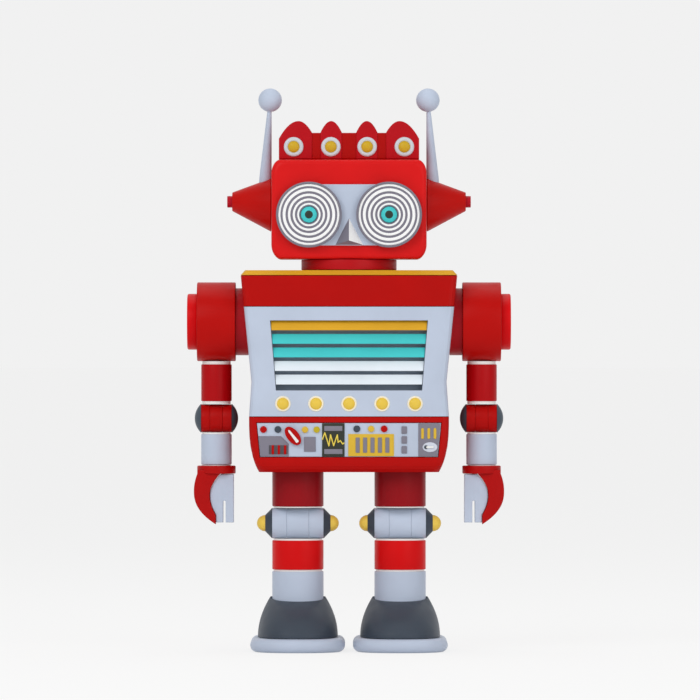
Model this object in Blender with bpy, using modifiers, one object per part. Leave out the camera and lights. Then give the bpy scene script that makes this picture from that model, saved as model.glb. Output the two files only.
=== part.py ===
"""Jointed retro toy robot: pressed shells, hinged limbs, a turning head and a control panel.

Metres, +Z up, the robot faces -Y. The origin is on the floor, midway between the soles.
Left and right are the robot's own sides, so left is +X.
"""

import math

import bmesh
import bpy
from mathutils import Matrix, Vector

# Clearances
CLEARANCE = 0.0003
LIMB_GAP = 0.0009
ARM_GAP = 0.0016
SIDES = {"left": 1, "right": -1}
ROUND = 20
SMALL_ROUND = 10

# Feet and legs
BODY_Y = 0.008
LEG_X = 0.0256
LEG_DIAMETER = 0.0257
LEG_WALL = 0.0015
LEG_FLOOR = 0.002
SOLE_WIDTH = 0.0472
SOLE_LENGTH = 0.076
SOLE_HEIGHT = 0.0068
SOLE_TOE_RADIUS = 0.021
SOLE_HEEL_RADIUS = 0.013
SOLE_EDGE = 0.0030
BOOT_WIDTH = 0.040
BOOT_HEIGHT = 0.0197
BOOT_SOLE_MARGIN = 0.0042
BOOT_RIM = 0.0006
BOOT_WALL = 0.0016
ANKLE_HEIGHT = 0.0127
SHIN_HEIGHT = 0.0146
SHIN_SPIGOT_RADIUS = 0.009
SHIN_SPIGOT_LENGTH = 0.0064
KNEE_DIAMETER = 0.0152
KNEE_KNUCKLE_WIDTH = 0.011
KNEE_STEM_RADIUS = 0.005
KNEE_YOKE_STEM_RADIUS = 0.0095
KNEE_PLUG_LENGTH = 0.005
KNEE_PIN_RADIUS = 0.002
KNEE_CONE_LENGTH = 0.0036
KNEE_DOME_RADIUS = 0.004
KNEE_DOME_HEIGHT = 0.0038
THIGH_HEIGHT = 0.0174
HIP_RISE = 0.0075
HIP_TOP = 0.006
HIP_SWING = math.radians(25)
AXLE_RADIUS = 0.0025

# Torso
TORSO_DEPTH = 0.052
TORSO_CORNER = 0.0030
TORSO_WALL = 0.0013
TORSO_TOP_WIDTH = 0.1079
WAIST_WIDTH = 0.0972
BELLY_TOP_WIDTH = 0.0996
BELLY_BOTTOM_WIDTH = 0.0897
BELLY_HEIGHT = 0.0275
BELLY_TUCK = 3.0
WAIST_RISE = 0.0175
CHEST_HEIGHT = 0.0552
CHEST_WRAP = 0.0088
COLLAR_HEIGHT = 0.0152
TOP_PLATE_HEIGHT = 0.0024
TOP_PLATE_CHAMFER = 0.0022
BACK_COVER_WIDTH = 0.062
BACK_COVER_HEIGHT = 0.066
BACK_COVER_RISE = 0.034
BACK_COVER_LIP = 0.0025
BACK_COVER_THICKNESS = 0.0016

# Louvre window and lamps in the chest
WINDOW_TOP_WIDTH = 0.0786
WINDOW_BOTTOM_WIDTH = 0.0728
WINDOW_HEIGHT = 0.0349
WINDOW_DROP = 0.0071
LOUVRE_BACK_THICKNESS = 0.0012
LOUVRE_DEPTH = 0.0052
SLAT_PITCH = 0.00675
SLAT_HEIGHT = 0.0049
SLAT_THICKNESS = 0.0012
SLAT_LEAN = 0.0022
CHEST_LAMPS = 5
CHEST_LAMP_PITCH = 0.01645
CHEST_LAMP_RISE = 0.0066
CHEST_LAMP_RADIUS = 0.0034
LAMP_STRIP_THICKNESS = 0.0015
LAMP_STRIP_MARGIN = 0.0022
LAMP_PROUD = 0.0008
LAMP_DOME = 0.0014

# Control panel in the belly
PANEL_TOP_WIDTH = 0.0917
PANEL_BOTTOM_WIDTH = 0.0884
PANEL_HEIGHT = 0.0168
PANEL_DROP = 0.0030
PANEL_DEPTH = 0.0014
PANEL_RELIEF = 0.0007
BUTTON_RELIEF = 0.0013
BUTTON_RADIUS = 0.0018
BUTTON_RISE = 0.0137
BUTTON_X = (-0.0428, -0.0354, -0.0219, -0.0161, 0.0042, 0.0112, 0.0178)
KNOB_PLACE = (-0.0280, 0.0112)
KNOB_RADII = (0.0047, 0.0029)
KNOB_TURN = math.radians(-52)
KNOB_SHAFT_RADIUS = 0.0015
KNOB_PROUD = 0.0026
SWITCH_PLACE = (0.0409, 0.0049)
SWITCH_SLOT = (0.0038, 0.0018)
SWITCH_CAP = (0.0021, 0.0016)
SWITCH_TRAVEL = 0.0016

# Neck and head
NECK_DIAMETER = 0.0477
NECK_HEIGHT = 0.0051
PIVOT_RADIUS = 0.009
PIVOT_RISE = 0.0045
HEAD_WIDTH = 0.0774
HEAD_HEIGHT = 0.0495
HEAD_DEPTH = 0.050
HEAD_CORNER_WIDTH = 0.0034
HEAD_CORNER_HEIGHT = 0.0076
HEAD_EDGE = 0.0026
HEAD_WALL = 0.0012
EYE_X = 0.01995
EYE_RISE = 0.0222
EYE_RADIUS = 0.0162
EYE_DEPTH = 0.0052
EYE_RINGS = 5
EYE_RING_RELIEF = 0.0006
EYE_DISH = 0.0012
IRIS_RADIUS = 0.0042
IRIS_HEIGHT = 0.0019
FACE_WIDTH = 0.050
FACE_HEIGHT = 0.0311
FACE_RISE = 0.0066
FACE_THICKNESS = 0.0014
NOSE_WIDTH = 0.0142
NOSE_HEIGHT = 0.0140
NOSE_REACH = 0.0062
NOSE_TIP_RISE = 0.0018
CREST_WIDTH = 0.0700
CREST_HEIGHT = 0.0190
CREST_VALLEY = 0.0131
CREST_SHOULDER = 0.0102
CREST_DEPTH = 0.034
CREST_LAMP_X = (0.0276, 0.00905)
CREST_LAMP_RISE = 0.0066
CREST_LAMP_RADIUS = 0.0030
OUTER_HUMP_X = 0.0252
OUTER_HUMP_INNER = 0.0184
INNER_HUMP_X = 0.0089
INNER_HUMP_HALF = 0.0054
EAR_RISE = 0.0288
EAR_BASE_RADIUS = 0.0133
EAR_TIP_RADIUS = 0.0046
EAR_LENGTH = 0.0195
EAR_NUB_RADIUS = 0.0029
EAR_NUB_LENGTH = 0.0025
ANTENNA_BASE_RADIUS = 0.0031
ANTENNA_TOP_RADIUS = 0.0011
ANTENNA_SOCKET = 0.004
ANTENNA_LENGTH = 0.0334
ANTENNA_LEAN = 0.0020
ANTENNA_BALL_RADIUS = 0.0059

# Arms
SHOULDER_DROP = 0.0229
SHOULDER_STANDOFF = 0.0028
DRUM_RADIUS = 0.01975
DRUM_WIDTH = 0.0193
DRUM_WALL = 0.0015
BOSS_RADIUS = 0.0165
CAP_RADIUS = 0.0140
CAP_THICKNESS = 0.0046
CAP_PLUG_RADIUS = 0.0120
CAP_PLUG_LENGTH = 0.003
ARM_DIAMETER = 0.0153
UPPER_ARM_HEIGHT = 0.0184
ARM_SPIGOT_RADIUS = 0.0045
ARM_SPIGOT_LENGTH = 0.0036
ELBOW_DIAMETER = 0.0140
ELBOW_KNUCKLE_WIDTH = 0.0063
ELBOW_STEM_RADIUS = 0.0029
ELBOW_YOKE_STEM_RADIUS = 0.0066
ELBOW_PLUG_LENGTH = 0.0045
ELBOW_PIN_RADIUS = 0.0016
ELBOW_CAP_HEIGHT = 0.0030
ELBOW_CAP_RADIUS = 0.0073
FOREARM_HEIGHT = 0.0153
FOREARM_WALL = 0.0013
WRIST_GAP = 0.0005
WRIST_SPIGOT_RADIUS = 0.0045
WRIST_SPIGOT_LENGTH = 0.006
CUFF_RADIUS = 0.00965
CUFF_HEIGHT = 0.0040
HAND_LENGTH = 0.0244
HAND_INNER = 0.0087
HAND_BULGE = 0.0112
HAND_BULGE_AT = 0.29
HAND_DEPTH = 0.0124
CLAW_DEPTH = 0.0150
CLAW_ROOT_OUT = 0.0095
CLAW_ROOT_IN = -0.0021
CLAW_HOLLOW = 0.0033
CLAW_HOLLOW_AT = 0.53
CLAW_TIP_X = 0.0003
CLAW_TIP_LENGTH = 0.0046
FINGER_SLIT = 0.0015
FINGER_SLIT_HEIGHT = 0.0103
FINGER_WIDTH = 0.0040

# Heights worked out from the sizes above
BOOT_BOTTOM = SOLE_HEIGHT + CLEARANCE
BOOT_TOP = BOOT_BOTTOM + BOOT_HEIGHT
ANKLE_TOP = BOOT_TOP + ANKLE_HEIGHT
SHIN_BOTTOM = ANKLE_TOP + LIMB_GAP
SHIN_TOP = SHIN_BOTTOM + SHIN_HEIGHT
KNEE_Z = SHIN_TOP + LIMB_GAP + KNEE_DIAMETER / 2
THIGH_BOTTOM = KNEE_Z + KNEE_DIAMETER / 2 + LIMB_GAP
TORSO_BOTTOM = THIGH_BOTTOM + THIGH_HEIGHT
HIP_Z = TORSO_BOTTOM + HIP_RISE
BELLY_TOP = TORSO_BOTTOM + BELLY_HEIGHT
WAIST_Z = BELLY_TOP + WAIST_RISE
CHEST_TOP = BELLY_TOP + CHEST_HEIGHT
TORSO_TOP = CHEST_TOP + COLLAR_HEIGHT
PLATE_BOTTOM = TORSO_TOP + CLEARANCE
PLATE_TOP = PLATE_BOTTOM + TOP_PLATE_HEIGHT
NECK_BOTTOM = PLATE_TOP + CLEARANCE
NECK_TOP = NECK_BOTTOM + NECK_HEIGHT
HEAD_BOTTOM = NECK_TOP + CLEARANCE
HEAD_TOP = HEAD_BOTTOM + HEAD_HEIGHT
CREST_BOTTOM = HEAD_TOP + CLEARANCE
EYE_Z = HEAD_BOTTOM + EYE_RISE
EAR_Z = HEAD_BOTTOM + EAR_RISE
SHOULDER_Z = TORSO_TOP - SHOULDER_DROP
UPPER_ARM_TOP = SHOULDER_Z - DRUM_RADIUS - ARM_GAP
UPPER_ARM_BOTTOM = UPPER_ARM_TOP - UPPER_ARM_HEIGHT
ELBOW_Z = UPPER_ARM_BOTTOM - ARM_GAP - ELBOW_DIAMETER / 2
FOREARM_TOP = ELBOW_Z - ELBOW_DIAMETER / 2 - LIMB_GAP
FOREARM_BOTTOM = FOREARM_TOP - FOREARM_HEIGHT
CUFF_TOP = FOREARM_BOTTOM - WRIST_GAP
CUFF_BOTTOM = CUFF_TOP - CUFF_HEIGHT
TORSO_FRONT = BODY_Y - TORSO_DEPTH / 2
TORSO_BACK = BODY_Y + TORSO_DEPTH / 2
HEAD_FRONT = BODY_Y - HEAD_DEPTH / 2
WINDOW_TOP = CHEST_TOP - WINDOW_DROP
WINDOW_BOTTOM = WINDOW_TOP - WINDOW_HEIGHT
CHEST_LAMP_Z = BELLY_TOP + CHEST_LAMP_RISE
PANEL_TOP = BELLY_TOP - PANEL_DROP
PANEL_BOTTOM = PANEL_TOP - PANEL_HEIGHT
PANEL_FACE = TORSO_FRONT + CLEARANCE
DRUM_INNER = TORSO_TOP_WIDTH / 2 + SHOULDER_STANDOFF
DRUM_OUTER = DRUM_INNER + DRUM_WIDTH
ARM_X = (DRUM_INNER + DRUM_OUTER) / 2

# Colours and finishes: base colour, roughness, metallic
FINISHES = {
    "red_enamel": ((0.62, 0.016, 0.012, 1.0), 0.32, 0.0),
    "bright_red_enamel": ((0.70, 0.020, 0.020, 1.0), 0.30, 0.0),
    "dark_red_enamel": ((0.30, 0.012, 0.016, 1.0), 0.38, 0.0),
    "blue_grey_enamel": ((0.49, 0.56, 0.68, 1.0), 0.35, 0.0),
    "slate_enamel": ((0.060, 0.072, 0.090, 1.0), 0.45, 0.0),
    "gold_enamel": ((0.70, 0.38, 0.030, 1.0), 0.35, 0.0),
    "yellow_lens": ((0.80, 0.55, 0.090, 1.0), 0.18, 0.0),
    "teal_enamel": ((0.066, 0.56, 0.56, 1.0), 0.30, 0.0),
    "white_enamel": ((0.82, 0.86, 0.90, 1.0), 0.35, 0.0),
    "steel": ((0.55, 0.55, 0.56, 1.0), 0.30, 1.0),
}

UP = Vector((0, 0, 1))
TO_AXIS = {
    "X": Matrix.Rotation(math.radians(90), 4, "Y"),
    "Y": Matrix.Rotation(math.radians(-90), 4, "X"),
    "Z": Matrix.Identity(4),
}


# Scene, collections and materials

def clear_scene():
    for obj in list(bpy.data.objects):
        bpy.data.objects.remove(obj, do_unlink=True)


def new_collection(name, hidden=False):
    collection = bpy.data.collections.new(name)
    bpy.context.scene.collection.children.link(collection)
    collection.hide_render = hidden
    return collection


def new_material(name):
    colour, roughness, metallic = FINISHES[name]
    made = bpy.data.materials.new(name)
    made.use_nodes = True
    shader = made.node_tree.nodes["Principled BSDF"]
    shader.inputs["Base Color"].default_value = colour
    shader.inputs["Roughness"].default_value = roughness
    shader.inputs["Metallic"].default_value = metallic
    made.diffuse_color = colour
    return made


clear_scene()
PARTS = new_collection("toy_robot")
TOOLS = new_collection("toy_robot_cutters", hidden=True)
MATERIALS = {name: new_material(name) for name in FINISHES}


# Shape helpers: with a finish the object is a piece, with none it is a hidden cutter

def place(name, mesh, finish=None, matrix=None):
    obj = bpy.data.objects.new(name, mesh)
    obj.matrix_world = matrix or Matrix.Identity(4)
    if finish:
        mesh.materials.append(MATERIALS[finish])
        PARTS.objects.link(obj)
    else:
        obj.hide_render = True
        obj.display_type = "WIRE"
        TOOLS.objects.link(obj)
    return obj


def mesh_from(name, shape, smooth_angle=35):
    mesh = bpy.data.meshes.new(name)
    shape.to_mesh(mesh)
    shape.free()
    mesh.shade_smooth()
    mesh.set_sharp_from_angle(angle=math.radians(smooth_angle))
    return mesh


def cylinder(name, radius, ends, axis, centre, finish=None, segments=ROUND):
    """A round bar along one axis; ends are its two places along that axis."""
    shape = bmesh.new()
    bmesh.ops.create_cone(shape, cap_ends=True, segments=segments, radius1=radius,
                          radius2=radius, depth=ends[1] - ends[0])
    middle = Vector(centre)
    middle["XYZ".index(axis)] = (ends[0] + ends[1]) / 2
    bmesh.ops.transform(shape, matrix=Matrix.Translation(middle) @ TO_AXIS[axis], verts=shape.verts)
    return place(name, mesh_from(name, shape), finish)


def box(name, low, high, finish=None):
    shape = bmesh.new()
    bmesh.ops.create_cube(shape, size=1)
    low, high = Vector(low), Vector(high)
    size = high - low
    scaled = Matrix.Translation((low + high) / 2) @ Matrix.Diagonal(size).to_4x4()
    bmesh.ops.transform(shape, matrix=scaled, verts=shape.verts)
    return place(name, mesh_from(name, shape), finish)


def turned(name, profile, axis, centre, finish=None, segments=ROUND, closed=False):
    """Turns a profile of (radius, place along the axis), listed from its far end back down its outer side."""
    mesh = bpy.data.meshes.new(name)
    count = len(profile)
    edges = [(i, i + 1) for i in range(count - 1)] + ([(count - 1, 0)] if closed else [])
    mesh.from_pydata([(radius, 0, along) for radius, along in profile], edges, [])
    obj = place(name, mesh, finish, Matrix.Translation(centre) @ TO_AXIS[axis])
    screw = obj.modifiers.new("turn", "SCREW")
    screw.axis = "Z"
    screw.steps = screw.render_steps = segments
    screw.use_merge_vertices = True
    screw.merge_threshold = 0.00001
    screw.use_smooth_shade = True
    return obj


def solid_of(curve_object, name, finish):
    """Makes a closed mesh object of a filled curve, whose caps are loose."""
    bpy.context.view_layer.update()
    graph = bpy.context.evaluated_depsgraph_get()
    mesh = bpy.data.meshes.new_from_object(curve_object.evaluated_get(graph))
    matrix = curve_object.matrix_world.copy()
    bpy.data.objects.remove(curve_object, do_unlink=True)
    shape = bmesh.new()
    shape.from_mesh(mesh)
    bmesh.ops.remove_doubles(shape, verts=shape.verts, dist=0.000001)
    bmesh.ops.recalc_face_normals(shape, faces=shape.faces)
    return place(name, mesh_from(name, shape), finish, matrix)


def outline(name, points, front, back, finish=None):
    """A front-view outline of (x, z) points, filled and extruded from front to back along Y."""
    curve = bpy.data.curves.new(name, "CURVE")
    curve.dimensions = "2D"
    curve.fill_mode = "BOTH"
    curve.extrude = (back - front) / 2
    spline = curve.splines.new("POLY")
    spline.points.add(len(points) - 1)
    for point, (x, z) in zip(spline.points, points):
        point.co = (x, z, 0, 1)
    spline.use_cyclic_u = True
    flat = bpy.data.objects.new(name, curve)
    TOOLS.objects.link(flat)
    flat.matrix_world = Matrix.Translation((0, (front + back) / 2, 0)) @ Matrix.Rotation(math.pi / 2, 4, "X")
    return solid_of(flat, name, finish)


def loft(name, sections, finish=None):
    """A closed skin over unlike sections, which hold equal numbers of points and run upwards."""
    shape = bmesh.new()
    rings = [[shape.verts.new(point) for point in section] for section in sections]
    for lower, upper in zip(rings, rings[1:]):
        for i in range(len(lower)):
            j = (i + 1) % len(lower)
            shape.faces.new((lower[i], lower[j], upper[j], upper[i]))
    shape.faces.new(rings[0][::-1])
    shape.faces.new(rings[-1])
    bmesh.ops.recalc_face_normals(shape, faces=shape.faces)
    return place(name, mesh_from(name, shape), finish)


def rounded_box(name, low, high, corner, edge, axis, finish=None, steps=(5, 3)):
    """A box whose four edges along an axis are rounded by corner, and then both its rims by edge."""
    shape = bmesh.new()
    bmesh.ops.create_cube(shape, size=1)
    low, high = Vector(low), Vector(high)
    bmesh.ops.transform(
        shape, matrix=Matrix.Translation((low + high) / 2) @ Matrix.Diagonal(high - low).to_4x4(),
        verts=shape.verts)
    along = "XYZ".index(axis)

    def runs_along(e):
        run = e.verts[0].co - e.verts[1].co
        return abs(run[along]) > 0.9 * run.length

    bmesh.ops.bevel(shape, geom=[e for e in shape.edges if runs_along(e)], offset=corner,
                    offset_type="OFFSET", segments=steps[0], profile=0.5, affect="EDGES")
    rims = [e for e in shape.edges if abs(e.verts[0].co[along] - e.verts[1].co[along]) < 1e-7]
    bmesh.ops.bevel(shape, geom=rims, offset=edge, offset_type="OFFSET", segments=steps[1],
                    profile=0.5, affect="EDGES")
    return place(name, mesh_from(name, shape), finish)


def combine(target, operation, tools):
    for tool in tools:
        modifier = target.modifiers.new(tool.name, "BOOLEAN")
        modifier.operation = operation
        modifier.solver = "EXACT"
        modifier.object = tool
    return target


def cut(target, *tools):
    return combine(target, "DIFFERENCE", tools)


def unite(target, *tools):
    return combine(target, "UNION", tools)


def arc(centre, radii, start, end, steps):
    """Points on an ellipse from one angle to another, in degrees, both ends included."""
    angles = [math.radians(start + (end - start) * i / steps) for i in range(steps + 1)]
    return [(centre[0] + radii[0] * math.cos(a), centre[1] + radii[1] * math.sin(a)) for a in angles]


def rectangle_section(half_width, half_depth, corner, z, steps=3):
    """A rounded rectangle about the body's centre line, at one height."""
    points = []
    for sign_x, sign_y, start in ((1, 1, 0), (-1, 1, 90), (-1, -1, 180), (1, -1, 270)):
        centre = (sign_x * (half_width - corner), BODY_Y + sign_y * (half_depth - corner))
        points += [(x, y, z) for x, y in arc(centre, (corner, corner), start, start + 90, steps)]
    return points


# Feet

def make_sole(side, sign):
    shape = bmesh.new()
    bmesh.ops.create_cube(shape, size=1)
    size = Matrix.Diagonal((SOLE_WIDTH, SOLE_LENGTH, SOLE_HEIGHT)).to_4x4()
    bmesh.ops.transform(shape, matrix=Matrix.Translation((sign * LEG_X, 0, SOLE_HEIGHT / 2)) @ size,
                        verts=shape.verts)
    for end, radius in ((-1, SOLE_TOE_RADIUS), (1, SOLE_HEEL_RADIUS)):
        corners = [e for e in shape.edges
                   if abs(e.verts[0].co.z - e.verts[1].co.z) > SOLE_HEIGHT / 2 and e.verts[0].co.y * end > 0
                   and abs(e.verts[0].co.y) > SOLE_LENGTH / 2 - 0.0001]
        bmesh.ops.bevel(shape, geom=corners, offset=radius, offset_type="OFFSET", segments=5,
                        profile=0.5, affect="EDGES")
    rims = [e for e in shape.edges if abs(e.verts[0].co.z - e.verts[1].co.z) < 1e-7]
    bmesh.ops.bevel(shape, geom=rims, offset=SOLE_EDGE, offset_type="OFFSET", segments=2,
                    profile=0.5, affect="EDGES")
    return place(f"sole_{side}", mesh_from(f"sole_{side}", shape), "blue_grey_enamel")


def boot_section(sign, share, shrink, z, steps=20):
    """The boot's outline at one share of its height: a long oval at the sole that draws in to a round rim."""
    spread = 1 - share ** 2
    rim = LEG_DIAMETER / 2 + CLEARANCE + BOOT_RIM - shrink
    side = rim + (BOOT_WIDTH / 2 - shrink - rim) * spread
    toe = rim + (SOLE_LENGTH / 2 - BOOT_SOLE_MARGIN + BODY_Y - shrink - rim) * spread
    heel = rim + (SOLE_LENGTH / 2 - BOOT_SOLE_MARGIN - BODY_Y - shrink - rim) * spread
    roundness = 0.5 + 0.24 * (1 - spread)
    points = []
    for i in range(steps):
        a = 2 * math.pi * i / steps
        c, s = math.cos(a), math.sin(a)
        x = side * math.copysign(abs(c) ** (roundness + 0.26), c)
        y = (heel if s > 0 else toe) * math.copysign(abs(s) ** (roundness + 0.26), s)
        points.append((sign * LEG_X + x, BODY_Y + y, z))
    return points


def make_boot(side, sign):
    shares = [0, 0.35, 0.65, 0.85, 1]
    outer = [boot_section(sign, t, 0, BOOT_BOTTOM + t * BOOT_HEIGHT) for t in shares]
    height = BOOT_HEIGHT - BOOT_WALL
    inner = [boot_section(sign, t, BOOT_WALL, BOOT_BOTTOM + t * height) for t in shares[::2]]
    inner.insert(0, boot_section(sign, 0, BOOT_WALL, BOOT_BOTTOM - BOOT_WALL))
    boot = loft(f"boot_{side}", outer, "slate_enamel")
    hollow = loft(f"boot_hollow_{side}", inner)
    bore = cylinder(f"boot_bore_{side}", LEG_DIAMETER / 2 + CLEARANCE, (BOOT_BOTTOM, BOOT_TOP + BOOT_WALL),
                    "Z", (sign * LEG_X, BODY_Y, 0))
    return cut(boot, hollow, bore)


# Legs

def make_ankle(side, sign):
    outer, inner = LEG_DIAMETER / 2, LEG_DIAMETER / 2 - LEG_WALL
    socket = SHIN_SPIGOT_RADIUS + CLEARANCE
    ceiling = ANKLE_TOP - LEG_FLOOR
    profile = [(outer, ANKLE_TOP), (outer, BOOT_BOTTOM), (inner, BOOT_BOTTOM), (inner, ceiling),
               (socket, ceiling), (socket, ANKLE_TOP)]
    return turned(f"ankle_{side}", profile, "Z", (sign * LEG_X, BODY_Y, 0), "blue_grey_enamel", closed=True)


def make_shin(side, sign):
    outer, spigot = LEG_DIAMETER / 2, SHIN_SPIGOT_RADIUS
    bore = KNEE_STEM_RADIUS + CLEARANCE
    foot = SHIN_BOTTOM - SHIN_SPIGOT_LENGTH
    profile = [(outer, SHIN_TOP), (outer, SHIN_BOTTOM), (spigot, SHIN_BOTTOM), (spigot, foot),
               (spigot - LEG_WALL, foot), (spigot - LEG_WALL, SHIN_TOP - LEG_FLOOR),
               (bore, SHIN_TOP - LEG_FLOOR), (bore, SHIN_TOP)]
    return turned(f"shin_{side}", profile, "Z", (sign * LEG_X, BODY_Y, 0), "bright_red_enamel", closed=True)


def make_knuckle(name, width, diameter, stem_radius, stem_end, pin_radius, x, z, finish):
    """The middle knuckle of a hinge, with the stem that plugs into the tube below it."""
    centre = (x, BODY_Y, z)
    barrel = cylinder(name, diameter / 2, (x - width / 2, x + width / 2), "X", centre, finish)
    stem = cylinder(f"{name}_stem", stem_radius, (stem_end, z), "Z", centre, segments=SMALL_ROUND)
    bore = cylinder(f"{name}_bore", pin_radius + CLEARANCE, (x - width, x + width), "X", centre,
                    segments=SMALL_ROUND)
    return cut(unite(barrel, stem), bore)


def make_yoke_tools(name, width, knuckle_width, diameter, stem_radius, stem_top, pin_radius, x, z):
    """The outer knuckles of a hinge: solids for the piece above, and cutters for its slot and bore."""
    centre = (x, BODY_Y, z)
    barrel = cylinder(f"{name}_barrel", diameter / 2, (x - width / 2, x + width / 2), "X", centre)
    stem = cylinder(f"{name}_stem", stem_radius, (z, stem_top), "Z", centre)
    reach = diameter / 2 + CLEARANCE
    half = knuckle_width / 2 + CLEARANCE
    slot = box(f"{name}_slot", (x - half, BODY_Y - diameter, z - diameter),
               (x + half, BODY_Y + diameter, z + reach))
    bore = cylinder(f"{name}_bore", pin_radius + CLEARANCE, (x - width, x + width), "X", centre,
                    segments=SMALL_ROUND)
    return (barrel, stem), (slot, bore)


def make_knee(side, sign):
    x = sign * LEG_X
    yoke_name = f"knee_yoke_{side}"
    plug_ends = (THIGH_BOTTOM - 2 * CLEARANCE, THIGH_BOTTOM + KNEE_PLUG_LENGTH)
    plug = cylinder(yoke_name, KNEE_STEM_RADIUS, plug_ends, "Z", (x, BODY_Y, 0), "blue_grey_enamel",
                    SMALL_ROUND)
    solids, cutters = make_yoke_tools(yoke_name, LEG_DIAMETER, KNEE_KNUCKLE_WIDTH, KNEE_DIAMETER,
                                      KNEE_YOKE_STEM_RADIUS, THIGH_BOTTOM - CLEARANCE, KNEE_PIN_RADIUS,
                                      x, KNEE_Z)
    cut(unite(plug, *solids), *cutters)
    make_knuckle(f"knee_knuckle_{side}", KNEE_KNUCKLE_WIDTH, KNEE_DIAMETER, KNEE_STEM_RADIUS,
                 SHIN_TOP - KNEE_PLUG_LENGTH, KNEE_PIN_RADIUS, x, KNEE_Z, "blue_grey_enamel")
    make_knee_rivet(side, x)


def make_knee_rivet(side, x):
    """The hinge pin: a bar with a conical collar and a domed head at each end."""
    seat = LEG_DIAMETER / 2 + CLEARANCE
    cone_end = seat + KNEE_CONE_LENGTH
    dome = [(KNEE_DOME_RADIUS * math.cos(a), cone_end + KNEE_DOME_HEIGHT * math.sin(a))
            for a in (math.radians(30 * i) for i in range(3, -1, -1))]
    dome[0] = (0, cone_end + KNEE_DOME_HEIGHT)
    half = dome + [(KNEE_DIAMETER / 2, seat), (KNEE_PIN_RADIUS, seat)]
    profile = half + [(radius, -along) for radius, along in reversed(half)]
    return turned(f"knee_rivet_{side}", profile, "X", (x, BODY_Y, KNEE_Z), "slate_enamel", SMALL_ROUND)


def make_thigh(side, sign):
    outer, inner = LEG_DIAMETER / 2, LEG_DIAMETER / 2 - LEG_WALL
    top = HIP_Z + HIP_TOP
    bore = KNEE_STEM_RADIUS + CLEARANCE
    floor = THIGH_BOTTOM + LEG_FLOOR
    profile = [(outer, top), (outer, THIGH_BOTTOM), (bore, THIGH_BOTTOM), (bore, floor), (inner, floor),
               (inner, top)]
    x = sign * LEG_X
    thigh = turned(f"thigh_{side}", profile, "Z", (x, BODY_Y, 0), "dark_red_enamel", closed=True)
    bore = cylinder(f"hip_bore_{side}", AXLE_RADIUS + CLEARANCE, (x - LEG_DIAMETER, x + LEG_DIAMETER), "X",
                    (0, BODY_Y, HIP_Z), segments=SMALL_ROUND)
    return cut(thigh, bore)


# Torso

def torso_half_width(z):
    """Half the body's width at a height: a belly tucked in below, a waist and a widening chest."""
    if z < BELLY_TOP:
        tuck = (BELLY_TOP - z) / BELLY_HEIGHT
        return (BELLY_TOP_WIDTH - (BELLY_TOP_WIDTH - BELLY_BOTTOM_WIDTH) * tuck ** BELLY_TUCK) / 2
    if z < WAIST_Z:
        return (BELLY_TOP_WIDTH + (WAIST_WIDTH - BELLY_TOP_WIDTH) * (z - BELLY_TOP) / WAIST_RISE) / 2
    share = (z - WAIST_Z) / (TORSO_TOP - WAIST_Z)
    return (WAIST_WIDTH + (TORSO_TOP_WIDTH - WAIST_WIDTH) * share) / 2


def torso_half_depth(z):
    """Half the body's depth: flat from the panel upwards, and tucked in under it."""
    if z >= PANEL_BOTTOM - PANEL_DROP:
        return TORSO_DEPTH / 2
    low = PANEL_BOTTOM - PANEL_DROP
    tuck = (low - z) / (low - TORSO_BOTTOM)
    return TORSO_DEPTH / 2 - TORSO_CORNER * tuck ** 2


def torso_loft(name, low, high, inset, finish=None):
    """The body's form between two heights, taken in by an inset."""
    fold = PANEL_BOTTOM - PANEL_DROP
    breaks = [TORSO_BOTTOM + (fold - TORSO_BOTTOM) * i / 3 for i in (1, 2, 3)]
    breaks += [PANEL_BOTTOM + (BELLY_TOP - PANEL_BOTTOM) * i / 4 for i in range(5)] + [WAIST_Z]
    heights = [low] + [z for z in breaks if low + 0.0002 < z < high - 0.0002] + [high]
    sections = []
    for z in heights:
        at = min(max(z, TORSO_BOTTOM), TORSO_TOP)
        sections.append(rectangle_section(torso_half_width(at) - inset, torso_half_depth(at) - inset,
                                          TORSO_CORNER - inset, z))
    return loft(name, sections, finish)


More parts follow.
